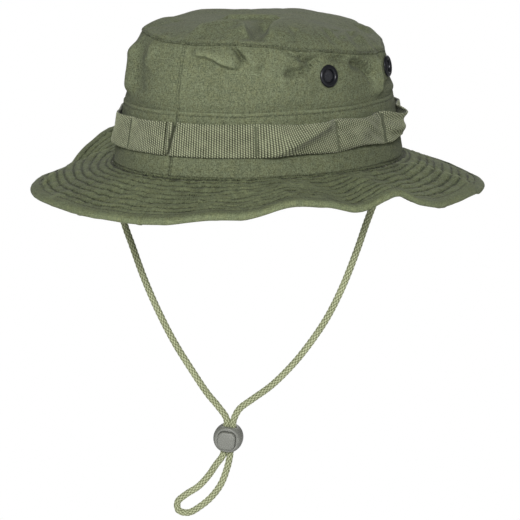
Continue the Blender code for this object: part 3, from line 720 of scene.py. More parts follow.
def grid_quads(rows, cols, wrap, start=0):
    """Faces of a grid of points, closed from its last row to its first where it wraps."""
    i, j = np.meshgrid(np.arange(rows if wrap else rows - 1), np.arange(cols - 1), indexing="ij")
    this, after = i * cols + j, (i + 1) % rows * cols + j
    return np.stack([this, after, after + 1, this + 1], -1).reshape(-1, 4) + start


def full_turn(steps):
    """Angles of so many even steps round a circle, in radians."""
    return np.linspace(0, 2 * np.pi, steps, endpoint=False)


def side_quads(rings, around, closed=False):
    """Faces between rings of points, and from the last ring to the first where closed."""
    i, j = np.meshgrid(np.arange(rings if closed else rings - 1), np.arange(around), indexing="ij")
    k, after = (j + 1) % around, (i + 1) % rings
    corners = [i * around + j, i * around + k, after * around + k, after * around + j]
    return np.stack(corners, -1).reshape(-1, 4)


def sheet(name, points, thick, weave, paint, wrap=False, flip=1):
    """A closed thin sheet: the points are its shown face, and it is so thick behind it."""
    rows, cols = points.shape[:2]
    if wrap:
        along = np.roll(points, -1, 0) - np.roll(points, 1, 0)
    else:
        along = np.gradient(points, axis=0)
    normal = unit(flip * np.cross(along, np.gradient(points, axis=1)))
    back = points - normal * np.broadcast_to(thick, (rows, cols))[..., None]
    count = rows * cols
    front_faces = grid_quads(rows, cols, wrap)
    back_faces = grid_quads(rows, cols, wrap, count)[:, ::-1]
    i = np.arange(rows if wrap else rows - 1)
    edges = []
    for j, way in ((0, 1), (cols - 1, -1)):
        this, after = i * cols + j, (i + 1) % rows * cols + j
        edges.append(np.stack([after, this, this + count, after + count], -1)[:, ::way])
    if not wrap:
        j = np.arange(cols - 1)
        for row, way in ((0, 1), (rows - 1, -1)):
            this = row * cols + j
            edges.append(np.stack([this, this + 1, this + 1 + count, this + count], -1)[:, ::way])
    quads = np.concatenate([front_faces, back_faces, *edges])
    if flip < 0:
        quads = quads[:, ::-1]
    weave = np.broadcast_to(weave, points.shape).reshape(-1, 3)
    return mesh_piece(name, np.concatenate([points.reshape(-1, 3), back.reshape(-1, 3)]), quads, paint,
                      np.concatenate([weave, weave]))


# One stitch: where its rings stand along it, their sizes and their heights, and the points of a ring
STITCH_SHARES = np.array([0.0, 0.14, 0.5, 0.86, 1.0])
STITCH_SIZES = np.array([0.35, 0.85, 1.0, 0.85, 0.35])
STITCH_HEIGHTS = np.array([-0.9, 0.1, 0.5, 0.1, -0.9])
STITCH_AROUND = 6
STITCH_CAPS = np.array([[0, 5, 4, 3], [0, 3, 2, 1], [24, 25, 26, 27], [24, 27, 28, 29]])


def stitch_points(surface, a, b, flip, pitch, length, radius):
    """Points and faces of a row of stitches that follows (a, b) over a surface."""
    a, b = np.broadcast_arrays(np.asarray(a, float), np.asarray(b, float))
    line, normal = surface(a, b), normals_of(surface, a, b, flip)
    run = lengths(line)
    starts = np.arange(0.4 * pitch, run[-1] - pitch, pitch)
    at = starts[:, None] + STITCH_SHARES * length
    middle, up = points_at(line, run, at), unit(points_at(normal, run, at))
    side = np.cross(unit(np.gradient(middle, axis=1)), up)
    middle = middle + up * (STITCH_HEIGHTS[:, None] * radius + STITCH_LIFT)
    angles = full_turn(STITCH_AROUND)
    ring = side[:, :, None] * np.cos(angles)[:, None] + up[:, :, None] * np.sin(angles)[:, None]
    points = middle[:, :, None] + ring * (STITCH_SIZES * radius)[:, None, None]
    rings = len(STITCH_SHARES)
    one = np.concatenate([side_quads(rings, STITCH_AROUND), STITCH_CAPS])
    quads = (one[None] + rings * STITCH_AROUND * np.arange(len(starts))[:, None, None]).reshape(-1, 4)
    weave = np.zeros((len(starts), rings, STITCH_AROUND, 3))
    weave[..., 0] = at[..., None]
    weave[..., 1] = angles * radius
    weave[..., 2] = np.random.default_rng(len(starts)).uniform(-1, 1, (len(starts), 1, 1))
    return points.reshape(-1, 3), quads, weave.reshape(-1, 3)


def stitching(name, rows, kind):
    """One piece of all the stitches along some rows; each row is (surface, a, b, flip)."""
    points, quads, weaves, count = [], [], [], 0
    for surface, a, b, flip in rows:
        p, q, w = stitch_points(surface, a, b, flip, *kind)
        points.append(p)
        quads.append(q + count)
        weaves.append(w)
        count += len(p)
    stitches = mesh_piece(
        name, np.concatenate(points), np.concatenate(quads), THREAD, np.concatenate(weaves))
    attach(stitches, "hat")


def tube_points(line, radius, around, relief=None):
    """Grid of points round a line, with frames that don't twist, and the distance along it."""
    ahead = unit(np.gradient(line, axis=0))
    side = np.cross(ahead[0], (0.3, 0.9, 0.1))
    frames = []
    for way in ahead:
        side = side - way * (side @ way)
        side = side / np.linalg.norm(side)
        frames.append(side)
    side = np.array(frames)
    up = np.cross(ahead, side)
    run, angles = lengths(line), full_turn(around)
    size = np.full((len(line), around), float(radius)) if relief is None else relief(run[:, None], angles)
    ring = side[:, None] * np.cos(angles)[:, None] + up[:, None] * np.sin(angles)[:, None]
    return line[:, None] + ring * size[..., None], run, angles, size


def tube_quads(rings, around):
    """Faces of a tube's sides and of its two ends."""
    caps = np.array([(m, around - 1 - m, around - 2 - m, m + 1) for m in range(around // 2 - 1)])
    return np.concatenate([side_quads(rings, around), caps, caps[:, ::-1] + (rings - 1) * around])


# ---- materials ----

class Graph:
    """Short calls that build one material's nodes."""

    def __init__(self, name):
        self.material = bpy.data.materials.new(name)
        self.material.use_nodes = True
        self.tree = self.material.node_tree
        self.shader = self.tree.nodes["Principled BSDF"]

    def put(self, socket, value):
        """Link a socket to another's output, or set its value."""
        if isinstance(value, bpy.types.NodeSocket):
            self.tree.links.new(value, socket)
        else:
            socket.default_value = value

    def math(self, operation, *values, clamp=False):
        """One Math node."""
        node = self.tree.nodes.new("ShaderNodeMath")
        node.operation, node.use_clamp = operation, clamp
        for socket, value in zip(node.inputs, values):
            self.put(socket, value)
        return node.outputs[0]

    def sum(self, *terms):
        """Values times their weights, added up; a bare number is added as it is."""
        total = 0.0
        for term in terms:
            value, weight = term if isinstance(term, tuple) else (term, None)
            if weight is None:
                total = self.math("ADD", total, value)
            else:
                total = self.math("MULTIPLY_ADD", value, weight, total)
        return total

    def coordinates(self):
        """The piece's own cloth coordinates, in mm, and its mark, which lightens or darkens its colour:
        mostly painted shade and highlight, with some wear and random tone.
        """
        node = self.tree.nodes.new("ShaderNodeAttribute")
        node.attribute_name = "weave"
        split = self.tree.nodes.new("ShaderNodeSeparateXYZ")
        self.tree.links.new(node.outputs["Vector"], split.inputs[0])
        return tuple(split.outputs)

    def noise(self, x, y, scale_x, scale_y, detail=2.0, seed=0.0):
        """Noise from 0 to 1 whose grain is so many mm along each way."""
        join = self.tree.nodes.new("ShaderNodeCombineXYZ")
        self.put(join.inputs[0], self.math("DIVIDE", x, scale_x))
        self.put(join.inputs[1], self.math("DIVIDE", y, scale_y))
        join.inputs[2].default_value = seed
        node = self.tree.nodes.new("ShaderNodeTexNoise")
        node.inputs["Scale"].default_value = 1.0
        node.inputs["Detail"].default_value = detail
        self.put(node.inputs["Vector"], join.outputs[0])
        return node.outputs[0]

    def wave(self, value, pitch, phase=0.0):
        """Sine of a value, with that pitch in mm."""
        return self.math("SINE", self.math("MULTIPLY_ADD", value, 2 * math.pi / pitch, phase))

    def step(self, value, low, high):
        """0 below low and 1 above high."""
        node = self.tree.nodes.new("ShaderNodeMapRange")
        self.put(node.inputs["Value"], value)
        node.inputs["From Min"].default_value = low
        node.inputs["From Max"].default_value = high
        return node.outputs[0]

    def mix(self, share, first, second):
        """A mix of two colours."""
        node = self.tree.nodes.new("ShaderNodeMix")
        node.data_type = "RGBA"
        self.put(node.inputs[0], share)
        for socket, colour in zip([s for s in node.inputs if s.type == "RGBA"], (first, second)):
            self.put(socket, colour if isinstance(colour, bpy.types.NodeSocket) else (*colour, 1.0))
        return next(s for s in node.outputs if s.type == "RGBA")

    def scale(self, colour, factor):
        """A colour made lighter or darker."""
        node = self.tree.nodes.new("ShaderNodeVectorMath")
        node.operation = "SCALE"
        self.put(node.inputs[0], colour)
        self.put(node.inputs["Scale"], factor)
        return node.outputs[0]

    def bump(self, height, distance, strength=1.0, below=None):
        """Bump of a height, so many mm deep."""
        node = self.tree.nodes.new("ShaderNodeBump")
        node.inputs["Distance"].default_value = distance * MM
        node.inputs["Strength"].default_value = strength
        self.put(node.inputs["Height"], height)
        if below is not None:
            self.put(node.inputs["Normal"], below)
        return node.outputs[0]

    def finish(self, colour, roughness, normal=None, **plain):
        """Join the shader's colour, roughness and bump, and set its plain values."""
        self.put(self.shader.inputs["Base Color"], colour)
        self.put(self.shader.inputs["Roughness"], roughness)
        if normal is not None:
            self.put(self.shader.inputs["Normal"], normal)
        for name, value in plain.items():
            self.shader.inputs[name.replace("_", " ")].default_value = value
        return self.material


def plain_weave(g, u, v, pitch):
    """Height of a plain weave: threads each way, over and under by turns."""
    along, across = g.wave(u, 2 * pitch), g.wave(v, 2 * pitch)
    over = g.math("MULTIPLY_ADD", g.math("MULTIPLY", along, across), 1.6, 0.5, clamp=True)
    warp, weft = g.math("ABSOLUTE", along), g.math("ABSOLUTE", across)
    lift = g.math("MULTIPLY", g.math("SUBTRACT", warp, weft), over)
    return g.math("ADD", lift, weft)


def cloth_paint(name, colour, pitch=0.42, grain=1.0, mark_weight=0.22, sheen=0.12):
    """Poplin: fine plain weave with slubs both ways, mottled dye and paler flecks."""
    g = Graph(name)
    u, v, mark = g.coordinates()
    weave = plain_weave(g, u, v, pitch)
    warp = g.noise(u, v, 0.38, 1.7, 1.0, 1.5)
    weft = g.noise(u, v, 1.7, 0.38, 1.0, 7.5)
    mottle = g.noise(u, v, 0.5, 0.5, 1.0, 3.5)
    cloud = g.noise(u, v, 24.0, 24.0, 3.0, 9.5)
    # The mark lightens or darkens the cloth: painted shade in seams, grooves and hollows, painted highlight
    # on raised folds and puffs, and paler fold tops that are partly wear
    level = g.sum(
        (weave, 0.22), (warp, 0.42 * grain), (weft, 0.42 * grain), (mottle, 0.75 * grain), (cloud, 0.26),
        (mark, mark_weight), 1.0 - 0.14 - 0.79 * grain - 0.13,
    )
    fleck = g.step(g.noise(u, v, 0.7, 0.7, 1.0, 11.5), 0.64, 0.74)
    base = g.scale(colour, level)
    pale = tuple(c * k for c, k in zip(colour, (1.75, 1.7, 1.6)))
    shade = g.mix(g.math("MULTIPLY", fleck, 0.35), base, pale)
    hue = g.mix(g.step(g.noise(u, v, 3.0, 3.0, 2.0, 15.5), 0.4, 0.9), shade,
                g.scale(tuple(c * k for c, k in zip(colour, (1.02, 0.97, 0.86))), level))
    normal = g.bump(weave, 0.07, 0.8)
    normal = g.bump(g.sum((warp, 0.5), (weft, 0.5), (mottle, 1.0)), 0.22, 0.8, normal)
    rough = g.sum((mottle, 0.12), 0.84)
    return g.finish(hue, rough, normal, Sheen_Weight=sheen, Sheen_Roughness=0.45,
                    Specular_IOR_Level=0.18)


def webbing_paint(name, light, dark):
    """Loop-band tape: upright ribs made of slanting stitches, with a painted highlight on the ribs and
    painted shade between them.
    """
    g = Graph(name)
    u, v, mark = g.coordinates()
    rib = g.sum((g.wave(u, RIB_PITCH, math.pi / 2), 0.5), 0.5)
    slant = g.math("MULTIPLY_ADD", u, 0.42, v)
    dots = g.sum((g.wave(slant, RIB_DOT), 0.5), 0.5)
    fine = g.noise(u, v, 0.22, 0.8, 1.0, 2.5)
    cloud = g.noise(u, v, 9.0, 6.0, 2.0, 4.5)
    body = g.math("MULTIPLY", g.math("POWER", rib, 0.8), g.sum((dots, 0.72), 0.24))
    share = g.sum((body, 1.3), (fine, 0.6), (cloud, 0.4), (mark, 0.25), -0.46)
    colour = g.mix(g.math("MAXIMUM", share, 0.0), dark, light)
    height = g.sum((body, 1.0), (fine, 0.35))
    return g.finish(colour, 0.78, g.bump(height, 0.30, 0.9), Sheen_Weight=0.18, Sheen_Roughness=0.4,
                    Specular_IOR_Level=0.25)


def thread_paint(name, colour):
    """Spun sewing thread: a slanting twist."""
    g = Graph(name)
    u, v, mark = g.coordinates()
    twist = g.sum((g.wave(g.math("MULTIPLY_ADD", v, 0.8, u), 0.45), 0.5), 0.5)
    level = g.sum((twist, 0.35), (mark, 0.14), (g.noise(u, v, 8.0, 8.0), 0.3), 0.68)
    return g.finish(g.scale(colour, level), 0.7, g.bump(twist, 0.05, 0.7), Sheen_Weight=0.1,
                    Specular_IOR_Level=0.3)


def cord_paint(name, light, dark):
    """Braided cord: bundles of fine yarn, with painted shade where they cross under."""
    g = Graph(name)
    u, v, height = g.coordinates()
    yarn = g.noise(g.math("MULTIPLY_ADD", v, 0.5, u), g.math("MULTIPLY_ADD", u, -0.5, v), 1.3, 0.16, 1.0)
    other = g.noise(g.math("MULTIPLY_ADD", v, -0.5, u), g.math("MULTIPLY_ADD", u, 0.5, v), 1.3, 0.16,
                    1.0, 5)
    cloud = g.noise(u, v, 14.0, 14.0, 2.0, 8.5)
    share = g.sum((height, 1.25), (yarn, 0.45), (other, 0.45), (cloud, 0.3), -0.98)
    colour = g.mix(g.math("MINIMUM", g.math("MAXIMUM", share, 0.0), 1.2), dark, light)
    return g.finish(colour, 0.8, g.bump(g.sum((yarn, 0.5), (other, 0.5)), 0.16, 0.8), Sheen_Weight=0.2,
                    Sheen_Roughness=0.4, Specular_IOR_Level=0.2)


def hard_paint(name, colour, roughness, metallic=0.0, grain=0.02, scale=1.2, mark_weight=0.12, coat=0.0):
    """Moulded plastic, enamel or metal: faint grain, soft smudges and small scuffs."""
    g = Graph(name)
    node = g.tree.nodes.new("ShaderNodeTexCoord")
    split = g.tree.nodes.new("ShaderNodeSeparateXYZ")
    g.tree.links.new(node.outputs["Object"], split.inputs[0])
    x, y, z = (g.math("MULTIPLY", output, 1000.0) for output in split.outputs)
    side = g.math("MULTIPLY_ADD", z, 0.7, x)
    lift = g.math("MULTIPLY_ADD", z, 0.6, y)
    fine = g.noise(side, lift, scale * 0.25, scale * 0.25, 2.0)
    smudge = g.noise(side, lift, 5 * scale, 5 * scale, 3.0, 4.5)
    scuff = g.step(g.noise(side, lift, 3 * scale, 0.25 * scale, 2.0, 8.5), 0.62, 0.72)
    level = g.sum((fine, 0.10), (smudge, 0.16), (scuff, mark_weight), 0.87)
    rough = g.sum((smudge, 0.18), (fine, 0.06), (scuff, 0.1), roughness - 0.12)
    return g.finish(g.scale(colour, level), rough, g.bump(fine, grain, 0.6), Metallic=metallic,
                    Coat_Weight=coat, Coat_Roughness=0.2)


CLOTH = cloth_paint("hat_cloth", (0.172, 0.195, 0.116), grain=2.3, mark_weight=0.3, sheen=0.05)
BRIM_PAINT = cloth_paint("brim_cloth", (0.170, 0.196, 0.109), grain=2.1, mark_weight=0.5, sheen=0.05)
LINING = cloth_paint("lining_cloth", (0.135, 0.153, 0.088), pitch=0.5, grain=1.6, sheen=0.05)
STIFF = cloth_paint("stiffener_cloth", (0.300, 0.300, 0.230), pitch=0.7)
# The tape's dark colour is painted shade between its ribs and in its folds, the light one a painted
# highlight on the ribs
WEBBING = webbing_paint("loop_tape", (0.490, 0.522, 0.336), (0.026, 0.030, 0.013))
THREAD = thread_paint("sewing_thread", (0.075, 0.085, 0.046))
PALE_THREAD = thread_paint("tack_thread", (0.150, 0.168, 0.098))
# The cord's dark colour is painted shade where its strands cross under, the light one their lit tops
CORD = cord_paint("braided_cord", (0.700, 0.745, 0.470), (0.110, 0.120, 0.048))
LOCK = hard_paint("lock_plastic", (0.262, 0.268, 0.238), 0.42, grain=0.03)
ENAMEL = hard_paint("black_enamel", (0.012, 0.013, 0.017), 0.36, 0.3, grain=0.01, coat=0.15)
SCREEN = hard_paint("black_screen", (0.055, 0.057, 0.065), 0.42, 0.3)
STEEL = hard_paint("spring_steel", (0.56, 0.56, 0.54), 0.3, 1.0)


def add_piece(piece, body, slot, *nodes):
    """Ride on a body and stand for CAD nodes, which are hidden; the slot is not used."""
    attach(piece, body)
    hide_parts(*nodes)
    return piece


make_camera()


# ---- the chin cord ----

def lock_matrix():
    """Where the cord lock hangs, and how it is turned and tipped."""
    turn = Matrix.Rotation(LOCK_TURN, 4, "Z") @ Matrix.Rotation(LOCK_TILT, 4, "Y")
    return Matrix.Translation(LOCK_AT) @ turn


def strand(side):
    """Straight run of one strand through the lock."""
    return [tuple(lock_matrix() @ Vector((side * STRAND_OFFSET, 0, along))) for along in STRAND_RUN]


def smooth_path(points, step):
    """Points about a step apart on the smooth curve through the given points."""
    points = [np.array(p, float) for p in points]
    dense = []
    for i in range(len(points) - 1):
        p1, p2 = points[i], points[i + 1]
        p0 = points[i - 1] if i else 2 * p1 - p2
        p3 = points[i + 2] if i + 2 < len(points) else 2 * p2 - p1
        knots = np.cumsum([0] + [max(np.linalg.norm(b - a), 1e-6) ** 0.5
                                 for a, b in ((p0, p1), (p1, p2), (p2, p3))])
        t0, t1, t2, t3 = knots
        t = np.linspace(t1, t2, 24, endpoint=False)[:, None]
        a1 = p0 * ((t1 - t) / (t1 - t0)) + p1 * ((t - t0) / (t1 - t0))
        a2 = p1 * ((t2 - t) / (t2 - t1)) + p2 * ((t - t1) / (t2 - t1))
        a3 = p2 * ((t3 - t) / (t3 - t2)) + p3 * ((t - t2) / (t3 - t2))
        b1 = a1 * ((t2 - t) / (t2 - t0)) + a2 * ((t - t0) / (t2 - t0))
        b2 = a2 * ((t3 - t) / (t3 - t1)) + a3 * ((t - t1) / (t3 - t1))
        dense.append(b1 * ((t2 - t) / (t2 - t1)) + b2 * ((t - t1) / (t2 - t1)))
    dense = np.concatenate([*dense, points[-1][None]])
    run = lengths(dense)
    return points_at(dense, run, np.linspace(0, run[-1], int(run[-1] / step) + 1))


def braid(run, angles):
    """Radius of the braided cord: two families of strands that wind opposite ways."""
    a, b = (np.pi * (BRAID_STRANDS * angles / np.pi + way * (run / BRAID_PITCH)) for way in (-1, 1))
    over = np.clip(0.5 + 1.4 * np.sin(a) * np.sin(b), 0, 1)
    height = np.abs(np.sin(a)) ** 0.7 * over + np.abs(np.sin(b)) ** 0.7 * (1 - over)
    return CORD_R - BRAID_LOW + BRAID_RISE * height


def make_cord():
    """The chin cord, from tab to tab, doubled below the lock."""
    route = CORD_LEFT + strand(-1) + CORD_LOOP + strand(1)[::-1] + CORD_RIGHT
    line = smooth_path(route, 0.27)
    for _ in range(6):
        line[1:-1] = 0.25 * line[:-2] + 0.5 * line[1:-1] + 0.25 * line[2:]
    points, run, angles, size = tube_points(line, CORD_R, CORD_AROUND, braid)
    weave = np.zeros(points.shape)
    weave[..., 0] = run[:, None]
    weave[..., 1] = angles * CORD_R
    weave[..., 2] = (size - CORD_R + BRAID_LOW) / BRAID_RISE
    cord = mesh_piece("braided_chin_cord", points.reshape(-1, 3), tube_quads(len(line), CORD_AROUND),
                      CORD, weave.reshape(-1, 3))
    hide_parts("chin_cord")
    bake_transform(cord)
    return cord, line


cord, cord_line = make_cord()


# ---- the cord lock ----

def lathe(name, profile, steps, paint):
    """Turned solid about Z from (radius, height) points; a radius of 0 closes it."""
    profile = np.array(profile, float)
    angles = full_turn(steps)
    points = np.stack([
        profile[:, :1] * np.cos(angles), profile[:, :1] * np.sin(angles),
        np.repeat(profile[:, 1:], steps, 1),
    ], -1)
    quads = side_quads(len(profile), steps, closed=profile[0, 0] > 0.01)
    return clean(mesh_piece(name, points.reshape(-1, 3), quads, paint))


def clean(piece):
    """Join a piece's doubled points and turn its faces outwards."""
    work = bmesh.new()
    work.from_mesh(piece.data)
    bmesh.ops.remove_doubles(work, verts=work.verts, dist=2e-6)
    bmesh.ops.dissolve_degenerate(work, edges=work.edges, dist=1e-7)
    bmesh.ops.recalc_face_normals(work, faces=work.faces)
    work.to_mesh(piece.data)
    work.free()
    piece.data.shade_smooth()
    return piece


def rounded_square(half, corner, steps):
    """Outline of a square with round corners, as (across, up) points."""
    points = []
    for quarter in range(4):
        middle = math.radians(90 * quarter + 45)
        for step in range(steps + 1):
            angle = math.radians(90 * quarter + 90 * step / steps)
            points.append((math.copysign(half - corner, math.cos(middle)) + corner * math.cos(angle),
                           math.copysign(half - corner, math.sin(middle)) + corner * math.sin(angle)))
    return np.array(points)


def square_bar(name, half, corner, stations, paint):
    """Square bar along Y; each station is (y, how far its outline is drawn in)."""
    rings = []
    for y, inset in stations:
        ring = rounded_square(half - inset, max(corner - inset, 0.2), 8)
        rings.append(np.stack([ring[:, 0], np.full(len(ring), y), ring[:, 1]], -1))
    return clean(mesh_piece(name, np.concatenate(rings), tube_quads(len(rings), len(rings[0])), paint))


def cut(piece, tool, operation="DIFFERENCE"):
    """Cut a piece with a tool, apply the cut and remove the tool."""
    modifier = piece.modifiers.new("cut", "BOOLEAN")
    modifier.operation, modifier.solver, modifier.object = operation, "EXACT", tool
    evaluated = piece.evaluated_get(bpy.context.evaluated_depsgraph_get())
    mesh = bpy.data.meshes.new_from_object(evaluated)
    piece.modifiers.clear()
    old, piece.data = piece.data, mesh
    bpy.data.meshes.remove(old)
    bpy.data.objects.remove(tool)
    piece.data.shade_smooth()
    piece.data.set_sharp_from_angle(angle=math.radians(38))


def slab(name, width, depth, height, edge):
    """Block with eased edges: width on X, a depth range on Y, height on Z."""
    rings = []
    for z, inset in ((-height / 2, edge), (-height / 2 + edge * 0.3, edge * 0.3),
                     (-height / 2 + edge, 0), (height / 2 - edge, 0),
                     (height / 2 - edge * 0.3, edge * 0.3), (height / 2, edge)):
        w, d0, d1 = width / 2 - inset, depth[0] + inset, depth[1] - inset
        rings.append([(-w, d0, z), (w, d0, z), (w, d1, z), (-w, d1, z)])
    return clean(mesh_piece(name, np.array(rings).reshape(-1, 3), tube_quads(len(rings), 4), LOCK))


def to_lock(piece):
    """Put a piece made about the lock's own origin in its place."""
    turn = lock_matrix()
    turn.translation = turn.translation * MM
    piece.data.transform(turn)
    return piece


# The lock's turned outline as (radius, height), its height once cut flat, and half its square well
LOCK_KNOTS = [
    (0, -11), (4.6, -10.8), (7.2, -9.2), (8.9, -6.0), (9.5, -1.9), (9.45, 2.2), (8.8, 5.0), (7.7, 6.9),
    (6.6, 7.1), (0, 7.1),
]
LOCK_HEIGHT = 15.7
WELL_HALF, WELL_CORNER = 6.0, 4.1

# The button's half width, and its stations as (y, how far the outline is drawn in there)
BUTTON_HALF, BUTTON_CORNER = 5.7, 3.8
BUTTON_STATIONS = [(-10, 1.1), (-9.86, 0.62), (-9.6, 0.25), (-9.2, 0.04), (-8.8, 0), (4.5, 0)]

# The spring: turns, radius of the coil and of its wire, and where along Y it starts
SPRING_TURNS, SPRING_R, SPRING_WIRE, SPRING_FOOT = 3.5, 3, 0.25, 5.05


def make_lock():
    """Cord lock: round body with flat ends, push button and spring."""
    curve = smooth_path([(r, h, 0) for r, h in LOCK_KNOTS], 0.5)[:, :2]
    curve[0, 0] = curve[-1, 0] = 0
    body = lathe("cord_lock_body", curve, 96, LOCK)
    body.data.transform(Matrix.Rotation(math.radians(90), 4, "X"))
    cut(body, slab("tool", 60, (-60, 60), LOCK_HEIGHT, 0.3), "INTERSECT")
    cut(body, square_bar("tool", WELL_HALF, WELL_CORNER, [(-20, 0), (9.5, 0)], LOCK))
    cut(body, slab("tool", 2 * (STRAND_OFFSET + CORD_R + 0.8), (-2.85, 2.85), 40, 0.1))
    to_lock(body)
    button = square_bar("cord_lock_button", BUTTON_HALF, BUTTON_CORNER, BUTTON_STATIONS, LOCK)
    cut(button, slab("tool", 2 * (STRAND_OFFSET + CORD_R + 0.35), (-5.4, 2.4), 40, 0.1))
    to_lock(button)
    turns = np.linspace(0, 2 * np.pi * SPRING_TURNS, 240)
    climb = SPRING_FOOT + 3.9 * smooth(turns / turns[-1]) * 0.5 + 1.95 * turns / turns[-1]
    coil = np.stack([SPRING_R * np.cos(turns), climb, SPRING_R * np.sin(turns)], -1)
    points = tube_points(coil, SPRING_WIRE, 12)[0]
    spring = mesh_piece("cord_lock_spring", points.reshape(-1, 3), tube_quads(len(coil), 12), STEEL)
    to_lock(spring)
    return body, button, spring


lock_body, lock_button, lock_spring = make_lock()
add_piece(lock_body, "lock", "lock_plastic", "lock_body")
add_piece(lock_button, "plunger", "lock_plastic", "lock_plunger")
add_piece(lock_spring, "lock", "spring_steel", "lock_spring")
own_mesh(lock_spring)


# ---- the hat's cloth ----

def spread(low, high, step):
    """Evenly spaced values from low to high."""
    return np.linspace(low, high, max(int(round((high - low) / step)) + 1, 2))


def half_angles(side, z, steps, lap):
    """Angles of one half of the hat at each height: the right panel laps over the left one."""
    share = np.linspace(0, 1, steps)[:, None]
    front, back = seam_at(z)[None, :], BACK_SEAM
    if side == "right":
        return front + (back - front) * share
    return back - 360 - lap + (front + lap - back + 360 + lap) * share


def lapped(surface, side, raise_by, drop_by):
    """The surface near the two centre seams: the right panel is raised, the left one goes under."""
    def shown(t, z):
        points = surface(t, z)
        level = np.broadcast_to(z, points.shape[:-1])
        if side == "right":
            near = np.minimum(np.abs(t - seam_at(level)), np.abs(BACK_SEAM - t)) * 1.5
            out = raise_by * (1 - smooth(near / LAP_REACH)) - 0.5 * raise_by * hump(near - 1.9, 0.6)
            out = out - (raise_by + 0.3) * (1 - smooth(near / 0.5))
        else:
            near = np.minimum(seam_at(level) - t, t - BACK_SEAM + 360) * 1.5
            out = -drop_by * (1 - smooth((near - 0.5) / 2.5))
        normal = outline(t)[1]
        points = points.copy()
        points[..., :2] += normal * out[..., None]
        return points
    return shown


def heights(*parts):
    """Rows of heights, from (low, high, step) stretches."""
    return np.unique(np.concatenate([spread(*part) for part in parts]).round(4))


def seam_shade(t, z, stitch):
    """Dark lines that mark a centre seam and the stitching beside it."""
    t, z = np.broadcast_arrays(t, z)
    line = 0.0
    for seam in (seam_at(z), BACK_SEAM, BACK_SEAM - 360, seam_at(z) + 360):
        away = (t - seam) * 1.45
        line = line + hump(away, 0.75) + 0.7 * hump(np.abs(away - stitch), 0.5)
    return -1.15 * line


def weave_of(t, v, mark, scale=0.92, slant=0.0):
    """Cloth coordinates of a piece that runs round the hat, and its mark of painted shade and highlight,
    with some wear.
    """
    t, v, mark = np.broadcast_arrays(t, v, mark)
    return np.stack([arc(t) * scale + slant * v, v, mark], -1)


def make_walls():
    """Upper wall, two panels with vent holes behind their eyelets."""
    for side in SIDES:
        surface = lapped(wall_surface, side, 1.1, 0.9)
        share = heights((0, 0.42, 0.06), (0.42, 1, 0.0062))
        z0 = np.concatenate([share, 1 + np.array([0.006, 0.014, 0.026, 0.04])])
        t = half_angles(side, z0 * 76, WALL_STEPS, 1.6)
        z = 0.5 + (wall_top(t) - 0.5) * np.minimum(z0, 1) + np.maximum(z0 - 1, 0) * 75
        points = surface(t, z)
        top = wall_top(t)
        # The mark: paler along the top edge, painted highlight on the raised folds and painted shade in the
        # hollows, painted shade along the centre seams, and fold tops paler for wear and a painted
        # highlight
        mark = 0.5 * hump(top - z, 0.8) + 0.5 * wall_relief(t, np.minimum(z, top)) / 2
        mark = np.clip(mark, -1, 1) * 0.5 + seam_shade(t, z, WALL_SEAM_ROW)
        mark = mark + 0.7 * wear_and_highlight_crests(t, z, WALL_FOLDS, WALL_RUN)
        panel = sheet(f"wall_cloth_{side}", points, WALL_CLOTH, weave_of(t, z, mark), CLOTH)
        for key, angle in EYELET_ANGLES.items():
            if key.startswith(side):
                open_hole(panel, eyelet_matrix(angle))
        add_piece(panel, "hat", "olive_cloth", f"crown_wall_{side}")
    # The stitches lie on the right panel, which is on top and was made last
    line = spread(38.5, 76.5, 0.5)
    edge = WALL_SEAM_ROW / 1.42
    rows = [(surface, seam_at(line) + edge, line, 1), (surface, BACK_SEAM - edge, line, 1)]
    stitching("wall_seam_stitches", rows, WALL_STITCH)


def eyelet_matrix(angle):
    """Matrix of an eyelet, in mm: local +Z leaves the wall's outer face."""
    step = 3.0
    fall = wall_face(EYELET_Z - step) - wall_face(EYELET_Z + step)
    tilt = math.atan2(fall, 2 * step)
    normal = Vector((*outline(np.array(float(angle)))[1], 0))
    out = normal * math.cos(tilt) + Vector((0, 0, math.sin(tilt)))
    across = Vector((0, 0, 1)).cross(normal).normalized()
    up = out.cross(across)
    at = Vector(place(float(angle), float(wall_face(EYELET_Z)), EYELET_Z))
    return Matrix.Translation(at) @ Matrix((across, up, out)).transposed().to_4x4()


def open_hole(panel, spot):
    """Take away the panel's faces inside an eyelet's barrel, on both faces, and close the rim."""
    inverse = spot.inverted()
    work = bmesh.new()
    work.from_mesh(panel.data)
    inside = []
    for face in work.faces:
        middle = inverse @ (face.calc_center_median() / MM)
        if abs(middle.z) < 4 and math.hypot(middle.x, middle.y) < 4.3:
            inside.append(face)
    bmesh.ops.delete(work, geom=inside, context="FACES")
    rims = [e for e in work.edges if e.is_boundary]
    bmesh.ops.bridge_loops(work, edges=rims)
    work.to_mesh(panel.data)
    work.free()
    panel.data.shade_smooth()


